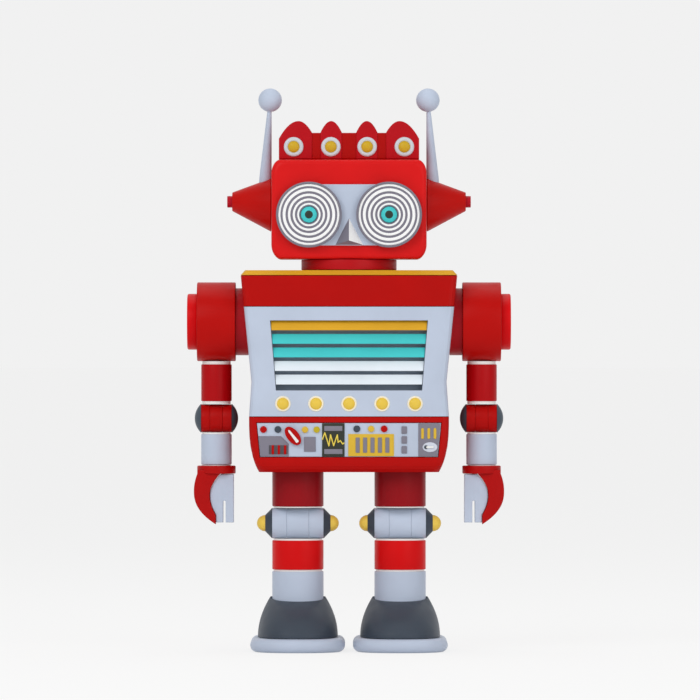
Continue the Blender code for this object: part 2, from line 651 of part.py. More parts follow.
def make_torso_shell():
    shell = torso_loft("torso_shell", TORSO_BOTTOM, TORSO_TOP, 0, "red_enamel")
    hollow = torso_loft("torso_hollow", TORSO_BOTTOM + TORSO_WALL, TORSO_TOP - TORSO_WALL, TORSO_WALL)
    tools = [hollow]
    wide = TORSO_TOP_WIDTH
    tools.append(box("chest_bay", (-wide, TORSO_FRONT - wide, BELLY_TOP),
                     (wide, TORSO_FRONT + CHEST_WRAP, CHEST_TOP)))
    tools.append(panel_outline("panel_bay", TORSO_FRONT - TORSO_WALL, TORSO_FRONT + 3 * TORSO_WALL,
                               CLEARANCE))
    back_z = TORSO_BOTTOM + BACK_COVER_RISE
    half = BACK_COVER_WIDTH / 2 - BACK_COVER_LIP
    tools.append(box("back_opening", (-half, TORSO_BACK - 3 * TORSO_WALL, back_z + BACK_COVER_LIP),
                     (half, TORSO_BACK + TORSO_WALL, back_z + BACK_COVER_HEIGHT - BACK_COVER_LIP)))
    tools.append(cylinder("neck_bore", PIVOT_RADIUS + CLEARANCE,
                          (TORSO_TOP - 3 * TORSO_WALL, TORSO_TOP + TORSO_WALL), "Z", (0, BODY_Y, 0)))
    reach = (LEG_DIAMETER / 2 + HIP_RISE * math.sin(HIP_SWING)) / math.cos(HIP_SWING) + 2 * CLEARANCE
    leg_half = LEG_DIAMETER / 2 + 2 * CLEARANCE
    for side, sign in SIDES.items():
        tools.append(box(f"leg_slot_{side}",
                         (sign * LEG_X - leg_half, BODY_Y - reach, TORSO_BOTTOM - TORSO_WALL),
                         (sign * LEG_X + leg_half, BODY_Y + reach, TORSO_BOTTOM + 2 * TORSO_WALL)))
    cut(shell, *tools)
    bosses = [cylinder(f"shoulder_boss_{side}", BOSS_RADIUS,
                       sorted((sign * (torso_half_width(SHOULDER_Z - BOSS_RADIUS) - 0.8 * TORSO_WALL),
                               sign * (DRUM_INNER - CLEARANCE))),
                       "X", (0, BODY_Y, SHOULDER_Z)) for side, sign in SIDES.items()]
    unite(shell, *bosses)
    bore = cylinder("shoulder_bore", AXLE_RADIUS + CLEARANCE, (-ARM_X, ARM_X), "X", (0, BODY_Y, SHOULDER_Z),
                    segments=SMALL_ROUND)
    return cut(shell, bore)


def make_top_plate():
    wide, deep = TORSO_TOP_WIDTH / 2, TORSO_DEPTH / 2
    sections = [rectangle_section(wide, deep, TORSO_CORNER, PLATE_BOTTOM),
                rectangle_section(wide - TOP_PLATE_CHAMFER, deep - TOP_PLATE_CHAMFER,
                                  TORSO_CORNER - TOP_PLATE_CHAMFER / 2, PLATE_TOP)]
    plate = loft("top_plate", sections, "gold_enamel")
    bore = cylinder("top_plate_bore", PIVOT_RADIUS + CLEARANCE,
                    (PLATE_BOTTOM - TORSO_WALL, PLATE_TOP + TORSO_WALL), "Z", (0, BODY_Y, 0))
    return cut(plate, bore)


def window_outline(name, front, back, grow):
    top, bottom = WINDOW_TOP_WIDTH / 2 + grow, WINDOW_BOTTOM_WIDTH / 2 + grow
    points = [(-top, WINDOW_TOP + grow), (top, WINDOW_TOP + grow), (bottom, WINDOW_BOTTOM - grow),
              (-bottom, WINDOW_BOTTOM - grow)]
    return outline(name, points, front, back)


def chest_lamp_places():
    middle = (CHEST_LAMPS - 1) / 2
    return [(i - middle) * CHEST_LAMP_PITCH for i in range(CHEST_LAMPS)]


def make_chest_plate():
    low, high = BELLY_TOP + CLEARANCE, CHEST_TOP - CLEARANCE
    plate = torso_loft("chest_plate", low, high, 0, "blue_grey_enamel")
    hollow = torso_loft("chest_hollow", low - TORSO_WALL, high + TORSO_WALL, TORSO_WALL)
    wide = TORSO_TOP_WIDTH
    behind = box("chest_behind", (-wide, TORSO_FRONT + CHEST_WRAP - CLEARANCE, low - wide),
                 (wide, TORSO_BACK + wide, high + wide))
    window = window_outline("chest_window", TORSO_FRONT - TORSO_WALL, TORSO_FRONT + 3 * TORSO_WALL, 0)
    bores = [cylinder(f"chest_lamp_bore_{i}", CHEST_LAMP_RADIUS + CLEARANCE,
                      (TORSO_FRONT - TORSO_WALL, TORSO_FRONT + 3 * TORSO_WALL), "Y", (x, 0, CHEST_LAMP_Z),
                      segments=SMALL_ROUND) for i, x in enumerate(chest_lamp_places())]
    return cut(plate, hollow, behind, window, *bores)


def lens_strip(name, places, z, radius, front, back, finish):
    """One moulded strip of lenses: a bar behind the wall, and a domed lens through each hole of it."""
    reach = max(abs(x) for x in places) + radius + LAMP_STRIP_MARGIN
    half = 0.95 * radius
    strip = box(name, (-reach, back, z - half), (reach, back + LAMP_STRIP_THICKNESS, z + half), finish)
    for i, x in enumerate(places):
        dome = [(radius * math.cos(a), -front + LAMP_DOME * math.sin(a))
                for a in (math.radians(30 * i) for i in range(3, -1, -1))]
        dome[0] = (0, dome[0][1])
        foot = -(back + LAMP_STRIP_THICKNESS / 2)
        profile = dome + [(radius, foot), (0, foot)]
        lens = turned(f"{name}_lens_{i}", profile, "Y", (x, 0, z), segments=SMALL_ROUND)
        lens.matrix_world = Matrix.Translation((x, 0, z)) @ Matrix.Rotation(math.radians(90), 4, "X")
        unite(strip, lens)
    return strip


def make_chest_lamps():
    return lens_strip("chest_lamps", chest_lamp_places(), CHEST_LAMP_Z, CHEST_LAMP_RADIUS,
                      TORSO_FRONT - LAMP_PROUD, TORSO_FRONT + TORSO_WALL + CLEARANCE, "yellow_lens")


def slat_bounds(row):
    top = WINDOW_TOP - row * SLAT_PITCH
    return top - SLAT_HEIGHT, top


def slat_half_width(z):
    share = (WINDOW_TOP - z) / WINDOW_HEIGHT
    return (WINDOW_TOP_WIDTH + (WINDOW_BOTTOM_WIDTH - WINDOW_TOP_WIDTH) * share) / 2 - CLEARANCE


def slat_blade(name, row, finish=None):
    """One leaning blade of the louvre: its lower edge stands forward of its upper edge."""
    low, high = slat_bounds(row)
    front = TORSO_FRONT + CLEARANCE
    sections = []
    for z, lean in ((low, 0), (high, SLAT_LEAN)):
        half = slat_half_width(z)
        y = front + lean
        rear = y + SLAT_THICKNESS
        sections.append([(-half, y, z), (half, y, z), (half, rear, z), (-half, rear, z)])
    return loft(name, sections, finish)


def make_slats(name, rows, finish):
    """Neighbouring blades of one colour, moulded on two end bars that also hold them to the backing."""
    blade = slat_blade(name, rows[0], finish)
    others = [slat_blade(f"{name}_blade_{row}", row) for row in rows[1:]]
    low, high = slat_bounds(rows[-1])[0] + SLAT_THICKNESS, slat_bounds(rows[0])[1] - SLAT_THICKNESS
    half = slat_half_width(low) - SLAT_THICKNESS
    back = TORSO_FRONT + LOUVRE_DEPTH - CLEARANCE
    for end in (-1, 1):
        inner, outer = sorted((end * (half - SLAT_THICKNESS), end * half))
        others.append(box(f"{name}_bar_{end}", (inner, TORSO_FRONT + SLAT_LEAN, low), (outer, back, high)))
    return unite(blade, *others)


def make_louvre():
    back = TORSO_FRONT + LOUVRE_DEPTH
    backing = window_outline("louvre_back_cutter", back, back + LOUVRE_BACK_THICKNESS, 1.5 * TORSO_WALL)
    backing.name = "louvre_back"
    wall = TORSO_FRONT + TORSO_WALL + CLEARANCE
    frame = window_outline("louvre_frame", wall, back + LOUVRE_BACK_THICKNESS / 2, 1.5 * TORSO_WALL)
    opening = window_outline("louvre_opening", wall - TORSO_WALL, back, TORSO_WALL / 2)
    backing.hide_render = False
    backing.display_type = "TEXTURED"
    TOOLS.objects.unlink(backing)
    PARTS.objects.link(backing)
    backing.data.materials.append(MATERIALS["slate_enamel"])
    unite(backing, cut(frame, opening))
    make_slats("slat_gold", [0], "gold_enamel")
    make_slats("slats_teal", [1, 2], "teal_enamel")
    make_slats("slats_white", [3, 4], "white_enamel")


def make_back_cover():
    low = TORSO_BOTTOM + BACK_COVER_RISE
    half = BACK_COVER_WIDTH / 2
    face = TORSO_BACK + CLEARANCE
    cover = rounded_box("back_cover", (-half, face, low),
                        (half, face + BACK_COVER_THICKNESS, low + BACK_COVER_HEIGHT),
                        TORSO_CORNER, BACK_COVER_THICKNESS / 3, "Y", "red_enamel", (4, 1))
    lip = BACK_COVER_LIP + CLEARANCE
    plug = box("back_cover_plug", (-half + lip, TORSO_BACK - TORSO_WALL, low + lip),
               (half - lip, face + BACK_COVER_THICKNESS / 2, low + BACK_COVER_HEIGHT - lip))
    return unite(cover, plug)


def make_axles():
    end = DRUM_OUTER - CAP_PLUG_LENGTH
    cylinder("shoulder_axle", AXLE_RADIUS, (-end, end), "X", (0, BODY_Y, SHOULDER_Z), "steel", SMALL_ROUND)
    reach = torso_half_width(HIP_Z - AXLE_RADIUS) - TORSO_WALL - CLEARANCE
    cylinder("hip_axle", AXLE_RADIUS, (-reach, reach), "X", (0, BODY_Y, HIP_Z), "steel", SMALL_ROUND)


# Control panel

def panel_outline(name, front, back, grow=0.0, finish=None):
    top, bottom = PANEL_TOP_WIDTH / 2 + grow, PANEL_BOTTOM_WIDTH / 2 + grow
    points = [(-top, PANEL_TOP + grow), (top, PANEL_TOP + grow), (bottom, PANEL_BOTTOM - grow),
              (-bottom, PANEL_BOTTOM - grow)]
    return outline(name, points, front, back, finish)


def panel_box(name, x, rise, width, height, relief):
    """A raised plate on the panel; rise is measured from the panel's lower edge."""
    z = PANEL_BOTTOM + rise
    return box(name, (x - width / 2, PANEL_FACE - relief, z - height / 2),
               (x + width / 2, PANEL_FACE + PANEL_DEPTH / 2, z + height / 2))


def panel_button(name, x, rise):
    return cylinder(name, BUTTON_RADIUS, (PANEL_FACE - BUTTON_RELIEF, PANEL_FACE + PANEL_DEPTH / 2), "Y",
                    (x, 0, PANEL_BOTTOM + rise), segments=SMALL_ROUND)


def make_panel():
    panel = panel_outline("control_panel", PANEL_FACE, PANEL_FACE + PANEL_DEPTH, 0, "blue_grey_enamel")
    middle, tall = PANEL_HEIGHT / 2, PANEL_HEIGHT - 2 * CLEARANCE
    plates = [
        panel_box("gauge_plate", -0.0368, 0.0049, 0.0126, 0.0086, PANEL_RELIEF),
        panel_box("meter_plate", -0.0194, 0.0057, 0.0056, 0.0074, PANEL_RELIEF),
        panel_box("scope_plate", -0.0074, middle, 0.0110, tall, PANEL_RELIEF),
        panel_box("slider_plate", 0.0118, 0.0055, 0.0224, 0.0100, PANEL_RELIEF),
        panel_box("switch_plate", 0.0387, middle, 0.0092, tall, PANEL_RELIEF),
    ]
    plates += [panel_box(f"scope_bar_{i}", -0.0074, rise, 0.0090, 0.0026, 2 * PANEL_RELIEF)
               for i, rise in enumerate((0.0026, 0.0142))]
    plates += [panel_box(f"gauge_bar_{i}", -0.0374 + 0.0031 * i, 0.0041, 0.0014, 0.0044, 2 * PANEL_RELIEF)
               for i in range(3)]
    plates += [panel_box(f"slider_bar_{i}", 0.0044 + 0.0037 * i, 0.0055, 0.0022, 0.0076, 2 * PANEL_RELIEF)
               for i in range(5)]
    plates += [panel_box(f"key_{i}", 0.0278, 0.0032 + 0.0050 * i, 0.0028, 0.0036, PANEL_RELIEF)
               for i in range(3)]
    plates += [panel_box(f"fuse_{i}", 0.0358 + 0.0032 * i, 0.0116, 0.0015, 0.0052, 2 * PANEL_RELIEF)
               for i in range(3)]
    plates += [panel_button(f"button_{i}", x, BUTTON_RISE) for i, x in enumerate(BUTTON_X)]
    unite(panel, *plates)
    knob_z = PANEL_BOTTOM + KNOB_PLACE[1]
    shaft = cylinder("knob_bore", KNOB_SHAFT_RADIUS + CLEARANCE,
                     (PANEL_FACE - TORSO_WALL, PANEL_FACE + 3 * PANEL_DEPTH), "Y",
                     (KNOB_PLACE[0], 0, knob_z), segments=SMALL_ROUND)
    x, z = SWITCH_PLACE[0], PANEL_BOTTOM + SWITCH_PLACE[1]
    half = SWITCH_SLOT[0] / 2
    slot = box("switch_slot", (x - half, PANEL_FACE - 3 * PANEL_RELIEF, z - SWITCH_SLOT[1] / 2),
               (x + half, PANEL_FACE + 3 * PANEL_DEPTH, z + SWITCH_SLOT[1] / 2))
    return cut(panel, shaft, slot)


def make_selector_knob():
    """An oval dial with a raised pointer bar, on a shaft through the panel."""
    x, z = KNOB_PLACE[0], PANEL_BOTTOM + KNOB_PLACE[1]
    seat = PANEL_FACE - PANEL_RELIEF - CLEARANCE
    front = seat - KNOB_PROUD / 2

    def turned_point(u, v):
        return (x + u * math.cos(KNOB_TURN) - v * math.sin(KNOB_TURN),
                z + u * math.sin(KNOB_TURN) + v * math.cos(KNOB_TURN))

    oval = [turned_point(*p) for p in arc((0, 0), KNOB_RADII, 0, 360, 24)[:-1]]
    knob = outline("selector_knob", oval, front, seat, "red_enamel")
    length, width = 0.62 * KNOB_RADII[0], 0.20 * KNOB_RADII[1]
    corners = ((-length, -width), (length, -width), (length, width), (-length, width))
    bar = [turned_point(u, v) for u, v in corners]
    pointer = outline("selector_pointer", bar, seat - KNOB_PROUD, front + KNOB_PROUD / 4)
    shaft = cylinder("selector_shaft", KNOB_SHAFT_RADIUS,
                     (front + KNOB_PROUD / 4, PANEL_FACE + 2 * PANEL_DEPTH), "Y", (x, 0, z),
                     segments=SMALL_ROUND)
    return unite(knob, pointer, shaft)


def make_power_switch():
    """A slide switch: an oval cap whose tongue runs in the panel's slot, drawn at its left stop."""
    x, z = SWITCH_PLACE[0], PANEL_BOTTOM + SWITCH_PLACE[1]
    face = PANEL_FACE - PANEL_RELIEF - CLEARANCE
    oval = [(x + u, z + v) for u, v in arc((0, 0), SWITCH_CAP, 0, 360, 20)[:-1]]
    cap = outline("power_switch", oval, face - PANEL_RELIEF, face, "white_enamel")
    half = (SWITCH_SLOT[0] - SWITCH_TRAVEL) / 2 - CLEARANCE
    left = x - SWITCH_SLOT[0] / 2 + CLEARANCE
    tongue = box("power_switch_tongue", (left, face - PANEL_RELIEF / 2, z - SWITCH_SLOT[1] / 2 + CLEARANCE),
                 (left + 2 * half, PANEL_FACE + PANEL_DEPTH, z + SWITCH_SLOT[1] / 2 - CLEARANCE))
    return unite(cap, tongue)


# Neck and head

def make_neck():
    radius = NECK_DIAMETER / 2
    profile = [(0, NECK_TOP + PIVOT_RISE), (PIVOT_RADIUS, NECK_TOP + PIVOT_RISE), (PIVOT_RADIUS, NECK_TOP),
               (radius, NECK_TOP), (radius, NECK_BOTTOM), (PIVOT_RADIUS, NECK_BOTTOM),
               (PIVOT_RADIUS, TORSO_TOP - TORSO_WALL), (0, TORSO_TOP - TORSO_WALL)]
    return turned("neck", profile, "Z", (0, BODY_Y, 0), "dark_red_enamel")


def head_section(inset, y, steps=4):
    """The head's front outline, an upright rectangle with tall elliptical corners, taken in by an inset."""
    half_width, half_height = HEAD_WIDTH / 2 - inset, HEAD_HEIGHT / 2 - inset
    radii = (HEAD_CORNER_WIDTH, HEAD_CORNER_HEIGHT)
    middle = HEAD_BOTTOM + HEAD_HEIGHT / 2
    points = []
    for sign_x, sign_z, start in ((1, 1, 0), (-1, 1, 90), (-1, -1, 180), (1, -1, 270)):
        centre = (sign_x * (half_width - radii[0]), middle + sign_z * (half_height - radii[1]))
        points += [(x, y, z) for x, z in arc(centre, radii, start, start + 90, steps)]
    return points


def head_loft(name, inset, finish=None):
    """The head from its face to its back, with both rims rounded over."""
    front, back = HEAD_FRONT + inset, HEAD_FRONT + HEAD_DEPTH - inset
    edge = HEAD_EDGE - inset / 2
    angles = (0, math.radians(35), math.radians(90))
    rounds = [(edge * (1 - math.sin(a)), edge * (1 - math.cos(a))) for a in angles]
    rims = [(inset + draw, front + run) for draw, run in rounds]
    rims += [(inset + draw, back - run) for draw, run in reversed(rounds)]
    return loft(name, [head_section(draw, y) for draw, y in rims], finish)


def make_head_shell():
    shell = head_loft("head_shell", 0, "bright_red_enamel")
    hollow = head_loft("head_hollow", HEAD_WALL)
    bore = cylinder("head_bore", PIVOT_RADIUS + CLEARANCE,
                    (HEAD_BOTTOM - HEAD_WALL, HEAD_BOTTOM + 3 * HEAD_WALL), "Z", (0, BODY_Y, 0))
    return cut(shell, hollow, bore)


def make_face_plate():
    """The plate between the eyes, with the wedge of the nose standing out of it."""
    low = HEAD_BOTTOM + FACE_RISE
    back = HEAD_FRONT - CLEARANCE
    front = back - FACE_THICKNESS
    plate = box("face_plate", (-FACE_WIDTH / 2, front, low), (FACE_WIDTH / 2, back, low + FACE_HEIGHT),
                "blue_grey_enamel")
    foot = front + FACE_THICKNESS / 2
    half, tip = NOSE_WIDTH / 2, low + NOSE_TIP_RISE
    shape = bmesh.new()
    corners = [(-half, foot, low + CLEARANCE), (half, foot, low + CLEARANCE), (0, foot, low + NOSE_HEIGHT),
               (0, front - NOSE_REACH, tip)]
    bmesh.ops.convex_hull(shape, input=[shape.verts.new(point) for point in corners])
    nose = place("nose_wedge", mesh_from("nose_wedge", shape))
    eyes = [cylinder(f"eye_clearance_{side}", EYE_RADIUS + CLEARANCE, (front - EYE_DEPTH, back + EYE_DEPTH),
                     "Y", (sign * EYE_X, 0, EYE_Z)) for side, sign in SIDES.items()]
    return cut(unite(plate, nose), *eyes)


def make_eye(side, sign):
    """A shallow dish with raised rings round a socket, and the domed iris in it."""
    seat = CLEARANCE
    rim = EYE_DEPTH
    floor = EYE_DEPTH - EYE_DISH
    pitch = (EYE_RADIUS - IRIS_RADIUS) / (EYE_RINGS + 0.5)
    hollow = IRIS_RADIUS + CLEARANCE
    profile = [(0, floor - EYE_DISH), (hollow, floor - EYE_DISH), (hollow, floor)]
    for i in range(EYE_RINGS):
        start = IRIS_RADIUS + pitch * (i + 0.35)
        profile += [(start, floor), (start + 0.5 * pitch, floor + EYE_RING_RELIEF)]
    profile += [(EYE_RADIUS - 0.4 * pitch, floor), (EYE_RADIUS - 0.3 * pitch, rim),
                (EYE_RADIUS, rim - 0.1 * pitch), (EYE_RADIUS, seat), (0, seat)]
    middle = Matrix.Translation((sign * EYE_X, HEAD_FRONT, EYE_Z))
    forward = middle @ Matrix.Rotation(math.radians(90), 4, "X")
    disc = turned(f"eye_disc_{side}", profile, "Y", (0, 0, 0), "white_enamel")
    disc.matrix_world = forward
    foot = floor - EYE_DISH + CLEARANCE
    dome = [(IRIS_RADIUS * math.cos(a), floor + IRIS_HEIGHT * math.sin(a))
            for a in (math.radians(30 * i) for i in range(3, -1, -1))]
    dome[0] = (0, floor + IRIS_HEIGHT)
    iris = turned(f"eye_iris_{side}", dome + [(IRIS_RADIUS, foot), (0, foot)], "Y", (0, 0, 0), "teal_enamel",
                  SMALL_ROUND)
    iris.matrix_world = forward


def hump(x, half, low, top, span, steps):
    """Points over a parabolic hump, from one share of its half width to another."""
    shares = [span[0] + (span[1] - span[0]) * i / steps for i in range(steps + 1)]
    return [(x + half * share, top - (top - low) * share ** 2) for share in shares]


def crest_points():
    """The crest's front outline, from its lower right corner round over the four humps."""
    half, base = CREST_WIDTH / 2, CREST_BOTTOM
    valley, shoulder, top = base + CREST_VALLEY, base + CREST_SHOULDER, base + CREST_HEIGHT
    outer_side = hump(OUTER_HUMP_X, half - OUTER_HUMP_X, shoulder, top, (1, 0), 5)
    outer_inner = hump(OUTER_HUMP_X, OUTER_HUMP_X - OUTER_HUMP_INNER, valley, top, (0, -1), 4)[1:]
    inner_hump = hump(INNER_HUMP_X, INNER_HUMP_HALF, valley, top, (1, -1), 8)
    right = [(half, base)] + outer_side + outer_inner + inner_hump
    return right + [(-x, z) for x, z in reversed(right)]


def crest_lamp_places():
    outer, inner = CREST_LAMP_X
    return [-outer, -inner, inner, outer]


def make_crest():
    front = BODY_Y - CREST_DEPTH / 2
    crest = outline("crest", crest_points(), front, front + CREST_DEPTH, "dark_red_enamel")
    z = CREST_BOTTOM + CREST_LAMP_RISE
    wall = front + TORSO_WALL
    margin = LAMP_STRIP_MARGIN + CLEARANCE
    reach = CREST_LAMP_X[0] + CREST_LAMP_RADIUS + margin
    half = CREST_LAMP_RADIUS + margin / 2
    bay = box("crest_bay", (-reach, wall, CREST_BOTTOM - half), (reach, wall + CREST_DEPTH / 2, z + half))
    bores = [cylinder(f"crest_lamp_bore_{i}", CREST_LAMP_RADIUS + CLEARANCE,
                      (front - TORSO_WALL, wall + TORSO_WALL), "Y", (x, 0, z), segments=SMALL_ROUND)
             for i, x in enumerate(crest_lamp_places())]
    cut(crest, bay, *bores)
    lens_strip("crest_lamps", crest_lamp_places(), z, CREST_LAMP_RADIUS, front - LAMP_PROUD,
               wall + CLEARANCE, "yellow_lens")


def antenna_foot():
    """Where an antenna enters its ear cone: outside the head, by its own base radius and the clearance."""
    x = HEAD_WIDTH / 2 + CLEARANCE + ANTENNA_BASE_RADIUS
    along = (x - HEAD_WIDTH / 2) / EAR_LENGTH
    surface = EAR_BASE_RADIUS + (EAR_TIP_RADIUS - EAR_BASE_RADIUS) * along
    return Vector((x, BODY_Y, EAR_Z + surface - ANTENNA_SOCKET))


def antenna_frame(sign):
    """The antenna's own frame at its foot, with its axis leaning towards the head."""
    foot = antenna_foot()
    lean = Vector((-sign * ANTENNA_LEAN, 0, ANTENNA_LENGTH)).normalized()
    turn = UP.rotation_difference(lean).to_matrix().to_4x4()
    return Matrix.Translation((sign * foot.x, foot.y, foot.z)) @ turn


def make_ear(side, sign):
    start = HEAD_WIDTH / 2 + CLEARANCE
    end = start + EAR_LENGTH
    profile = [(0, end + EAR_NUB_LENGTH), (EAR_NUB_RADIUS, end + EAR_NUB_LENGTH), (EAR_NUB_RADIUS, end),
               (EAR_TIP_RADIUS, end), (EAR_BASE_RADIUS, start), (0, start)]
    ear = turned(f"ear_{side}", profile, "X", (0, BODY_Y, EAR_Z), "red_enamel")
    outward = Matrix.Rotation(math.radians(sign * 90), 4, "Y")
    ear.matrix_world = Matrix.Translation((0, BODY_Y, EAR_Z)) @ outward
    socket = cylinder(f"antenna_socket_{side}", ANTENNA_BASE_RADIUS + CLEARANCE,
                      (-CLEARANCE, 2 * ANTENNA_SOCKET + EAR_BASE_RADIUS), "Z", (0, 0, 0),
                      segments=SMALL_ROUND)
    socket.matrix_world = antenna_frame(sign)
    return cut(ear, socket)


def make_antenna(side, sign):
    tip = ANTENNA_SOCKET + ANTENNA_LENGTH
    centre = tip + math.sqrt(ANTENNA_BALL_RADIUS ** 2 - ANTENNA_TOP_RADIUS ** 2)
    start = math.degrees(math.asin(ANTENNA_TOP_RADIUS / ANTENNA_BALL_RADIUS)) - 90
    ball = [(r, h) for r, h in arc((0, centre), (ANTENNA_BALL_RADIUS, ANTENNA_BALL_RADIUS), 90, start, 6)]
    ball[0] = (0, centre + ANTENNA_BALL_RADIUS)
    profile = ball + [(ANTENNA_BASE_RADIUS, ANTENNA_SOCKET), (ANTENNA_BASE_RADIUS, 0), (0, 0)]
    rod = turned(f"antenna_{side}", profile, "Z", (0, 0, 0), "blue_grey_enamel", SMALL_ROUND)
    rod.matrix_world = antenna_frame(sign)


# Arms

def make_shoulder(side, sign):
    place_x = Matrix.Translation((0, BODY_Y, SHOULDER_Z)) @ Matrix.Rotation(math.radians(sign * 90), 4, "Y")
    bore, mouth = AXLE_RADIUS + CLEARANCE, CAP_PLUG_RADIUS + CLEARANCE
    inside = DRUM_RADIUS - DRUM_WALL
    profile = [(DRUM_RADIUS, DRUM_OUTER), (DRUM_RADIUS, DRUM_INNER), (bore, DRUM_INNER),
               (bore, DRUM_INNER + DRUM_WALL), (inside, DRUM_INNER + DRUM_WALL),
               (inside, DRUM_OUTER - DRUM_WALL), (mouth, DRUM_OUTER - DRUM_WALL), (mouth, DRUM_OUTER)]
    drum = turned(f"shoulder_drum_{side}", profile, "X", (0, 0, 0), "red_enamel", closed=True)
    drum.matrix_world = place_x
    socket = cylinder(f"arm_socket_{side}", ARM_SPIGOT_RADIUS + CLEARANCE,
                      (SHOULDER_Z - DRUM_RADIUS - DRUM_WALL, SHOULDER_Z - DRUM_RADIUS / 2), "Z",
                      (sign * ARM_X, BODY_Y, 0), segments=SMALL_ROUND)
    cut(drum, socket)
    seat = DRUM_OUTER + CLEARANCE
    edge = CAP_THICKNESS / 5
    plug_end = DRUM_OUTER - CAP_PLUG_LENGTH + CLEARANCE
    cap = [(0, seat + CAP_THICKNESS), (CAP_RADIUS - edge, seat + CAP_THICKNESS),
           (CAP_RADIUS, seat + CAP_THICKNESS - edge), (CAP_RADIUS, seat), (CAP_PLUG_RADIUS, seat),
           (CAP_PLUG_RADIUS, plug_end), (0, plug_end)]
    cover = turned(f"shoulder_cap_{side}", cap, "X", (0, 0, 0), "bright_red_enamel")
    cover.matrix_world = place_x


def make_upper_arm(side, sign):
    x = sign * ARM_X
    radius = ARM_DIAMETER / 2
    spigot_top = SHOULDER_Z - DRUM_RADIUS + ARM_SPIGOT_LENGTH
    name = f"upper_arm_{side}"
    profile = [(0, spigot_top), (ARM_SPIGOT_RADIUS, spigot_top), (ARM_SPIGOT_RADIUS, UPPER_ARM_TOP),
               (radius, UPPER_ARM_TOP), (radius, UPPER_ARM_BOTTOM), (0, UPPER_ARM_BOTTOM)]
    arm = turned(name, profile, "Z", (x, BODY_Y, 0), "red_enamel")
    solids, cutters = make_yoke_tools(name, ARM_DIAMETER, ELBOW_KNUCKLE_WIDTH, ELBOW_DIAMETER,
                                      ELBOW_YOKE_STEM_RADIUS, UPPER_ARM_BOTTOM + ARM_GAP,
                                      ELBOW_PIN_RADIUS, x, ELBOW_Z)
    cut(unite(arm, *solids), *cutters)
    make_knuckle(f"elbow_knuckle_{side}", ELBOW_KNUCKLE_WIDTH, ELBOW_DIAMETER, ELBOW_STEM_RADIUS,
                 FOREARM_TOP - ELBOW_PLUG_LENGTH, ELBOW_PIN_RADIUS, x, ELBOW_Z, "red_enamel")


def make_elbow_rivet(side, sign):
    """The elbow's pin, with a spherical cap at each end."""
    seat = ARM_DIAMETER / 2 + CLEARANCE
    sphere = (ELBOW_CAP_RADIUS ** 2 + ELBOW_CAP_HEIGHT ** 2) / (2 * ELBOW_CAP_HEIGHT)
    centre = seat + ELBOW_CAP_HEIGHT - sphere
    edge = math.degrees(math.acos(ELBOW_CAP_RADIUS / sphere))
    cap = arc((0, centre), (sphere, sphere), 90, edge, 3)
    cap[0] = (0, seat + ELBOW_CAP_HEIGHT)
    half = cap + [(ELBOW_PIN_RADIUS, seat)]
    profile = half + [(radius, -along) for radius, along in reversed(half)]
    return turned(f"elbow_rivet_{side}", profile, "X", (sign * ARM_X, BODY_Y, ELBOW_Z), "slate_enamel",
                  SMALL_ROUND)


def make_forearm(side, sign):
    radius, socket = ARM_DIAMETER / 2, ELBOW_STEM_RADIUS + CLEARANCE
    inside = radius - FOREARM_WALL
    wrist = WRIST_SPIGOT_RADIUS + CLEARANCE
    roof, floor = FOREARM_TOP - LEG_FLOOR, FOREARM_BOTTOM + LEG_FLOOR
    profile = [(radius, FOREARM_TOP), (radius, FOREARM_BOTTOM), (wrist, FOREARM_BOTTOM), (wrist, floor),
               (inside, floor), (inside, roof), (socket, roof), (socket, FOREARM_TOP)]
    return turned(f"forearm_{side}", profile, "Z", (sign * ARM_X, BODY_Y, 0), "blue_grey_enamel", closed=True)


def claw_curves():
    """The claw's outer and inner edges, as (out, down) from the wrist's axis and the cuff's lower face."""
    outer, inner = [], []
    for t in (i / 12 for i in range(13)):
        if t < HAND_BULGE_AT:
            drop = (HAND_BULGE - CLAW_ROOT_OUT) * (1 - t / HAND_BULGE_AT) ** 2
        else:
            drop = (HAND_BULGE - CLAW_TIP_X) * ((t - HAND_BULGE_AT) / (1 - HAND_BULGE_AT)) ** 1.9
        outer.append((HAND_BULGE - drop, t * HAND_LENGTH))
    for t in (i / 10 for i in range(11)):
        if t < CLAW_HOLLOW_AT:
            drop = (CLAW_HOLLOW - CLAW_ROOT_IN) * (1 - t / CLAW_HOLLOW_AT) ** 2
        else:
            drop = (CLAW_HOLLOW - CLAW_TIP_X) * ((t - CLAW_HOLLOW_AT) / (1 - CLAW_HOLLOW_AT)) ** 2
        inner.append((CLAW_HOLLOW - drop, t * (HAND_LENGTH - CLAW_TIP_LENGTH)))
    return outer, inner


